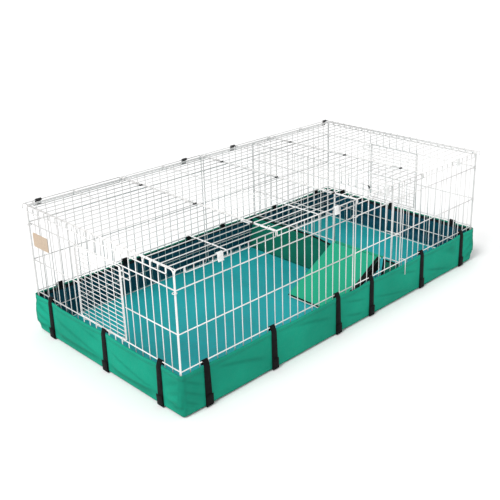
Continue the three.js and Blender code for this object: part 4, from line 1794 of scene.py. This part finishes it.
@dataclass(frozen=True)
class NamePlate:
    """The blank plate on the left end wall, with rounded corners and a raised rim."""

    corner: float = 4 * MM
    rim: float = 2.4 * MM
    rise: float = 0.35 * MM

    def build(self) -> None:
        """Build the plate."""
        low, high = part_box("plate_blank")
        work = Workpiece()
        size = high - low
        work.box(low, high)
        corners = [e for e in work.bm.edges if abs(e.verts[0].co.x - e.verts[1].co.x) > size.x / 2]
        work.bevel(corners, self.corner, 5)
        face = [f for f in work.bm.faces if f.normal.x < -0.9]
        bmesh.ops.inset_region(work.bm, faces=face, thickness=self.rim, depth=0.0)
        bmesh.ops.translate(work.bm, vec=Vector((self.rise, 0, 0)), verts=face[0].verts)
        piece = work.finish("plate_on_end", Finish.PLATE, smooth=False)
        soften(piece, 0.25 * MM)
        settle(piece, "cage", "plate_blank")


# ---------------------------------------------------------------- studio


@dataclass(frozen=True)
class Studio:
    """A pale floor, soft daylight and a camera that looks down over the near corner."""

    camera_place: tuple[float, float, float] = (-1.51129, -1.51794, 1.04236)
    azimuth: float = -45.711
    elevation: float = 20.584
    roll: float = -0.882
    lens: float = 56.68
    shift: tuple[float, float] = (-0.0664, -0.0655)
    floor_reach: float = 60.0
    sky: float = 0.64
    suns: tuple[tuple[str, tuple[float, float, float], float, float], ...] = (
        ("sun", (-0.66, -0.06, 0.75), 2.35, 24),
        ("fill", (0.25, -0.8, 0.55), 0.25, 60),
    )

    def build(self) -> None:
        """Build the studio."""
        self.floor()
        self.lights()
        self.camera()

    def floor(self) -> None:
        """Build the floor, set a little below the cage."""
        work = Workpiece()
        bmesh.ops.create_grid(work.bm, x_segments=1, y_segments=1, size=self.floor_reach)
        bmesh.ops.translate(work.bm, vec=Vector((0, 0, -0.4 * MM)), verts=work.bm.verts)
        mesh = bpy.data.meshes.new("floor")
        work.bm.to_mesh(mesh)
        work.bm.free()
        plane = bpy.data.objects.new("floor", mesh)
        bpy.context.scene.collection.objects.link(plane)
        material, _, shader = start_material("pale_floor")
        shader.inputs["Base Color"].default_value = (0.93, 0.93, 0.93, 1)
        shader.inputs["Roughness"].default_value = 0.7
        shader.inputs["Specular IOR Level"].default_value = 0.2
        mesh.materials.append(material)

    def lights(self) -> None:
        """Build the sky and two soft suns."""
        world = bpy.data.worlds.new("soft_sky")
        world.use_nodes = True
        background = world.node_tree.nodes["Background"]
        background.inputs[0].default_value = (1.0, 1.0, 1.0, 1)
        background.inputs[1].default_value = self.sky
        bpy.context.scene.world = world
        bpy.context.scene.view_settings.view_transform = "Standard"
        for name, towards, power, spread in self.suns:
            lamp = bpy.data.lights.new(name, "SUN")
            lamp.energy = power
            lamp.angle = math.radians(spread)
            piece = bpy.data.objects.new(name, lamp)
            piece.rotation_euler = Vector(towards).to_track_quat("Z", "Y").to_euler()
            bpy.context.scene.collection.objects.link(piece)

    def camera(self) -> None:
        """Build the camera."""
        turn, tilt, roll = (math.radians(a) for a in (self.azimuth, self.elevation, self.roll))
        back = Vector((math.sin(turn) * math.cos(tilt), -math.cos(turn) * math.cos(tilt), math.sin(tilt)))
        level = Vector((math.cos(turn), math.sin(turn), 0))
        upright = back.cross(level)
        right = level * math.cos(roll) + upright * math.sin(roll)
        up = upright * math.cos(roll) - level * math.sin(roll)
        lens = bpy.data.cameras.new("camera")
        lens.lens = self.lens
        lens.sensor_width = 36
        lens.shift_x, lens.shift_y = self.shift
        lens.clip_end = 200
        piece = bpy.data.objects.new("camera", lens)
        turned = Matrix((right, up, back)).transposed().to_4x4()
        piece.matrix_world = Matrix.Translation(self.camera_place) @ turned
        bpy.context.scene.collection.objects.link(piece)
        bpy.context.scene.camera = piece


def main() -> None:
    """Build the cage and its surroundings."""
    logging.basicConfig(level=logging.INFO, format="%(name)s %(message)s")
    Studio().build()
    LongWalls().build()
    for plane, hand in ((LEFT, "left"), (RIGHT, "right")):
        EndWall(plane, hand).build()
        EndDoor(plane, hand).build()
    CanvasTray().build()
    build_straps()
    Divider().build()
    Skirt("skirt_long", 1.0, droops=True).build()
    Skirt("skirt_short", 6.0, bound_side=9 * MM).build()
    Ramp().build()
    Lid().build()
    Clips().build()
    NamePlate().build()
    bpy.context.view_layer.update()


if __name__ == "__main__":
    main()
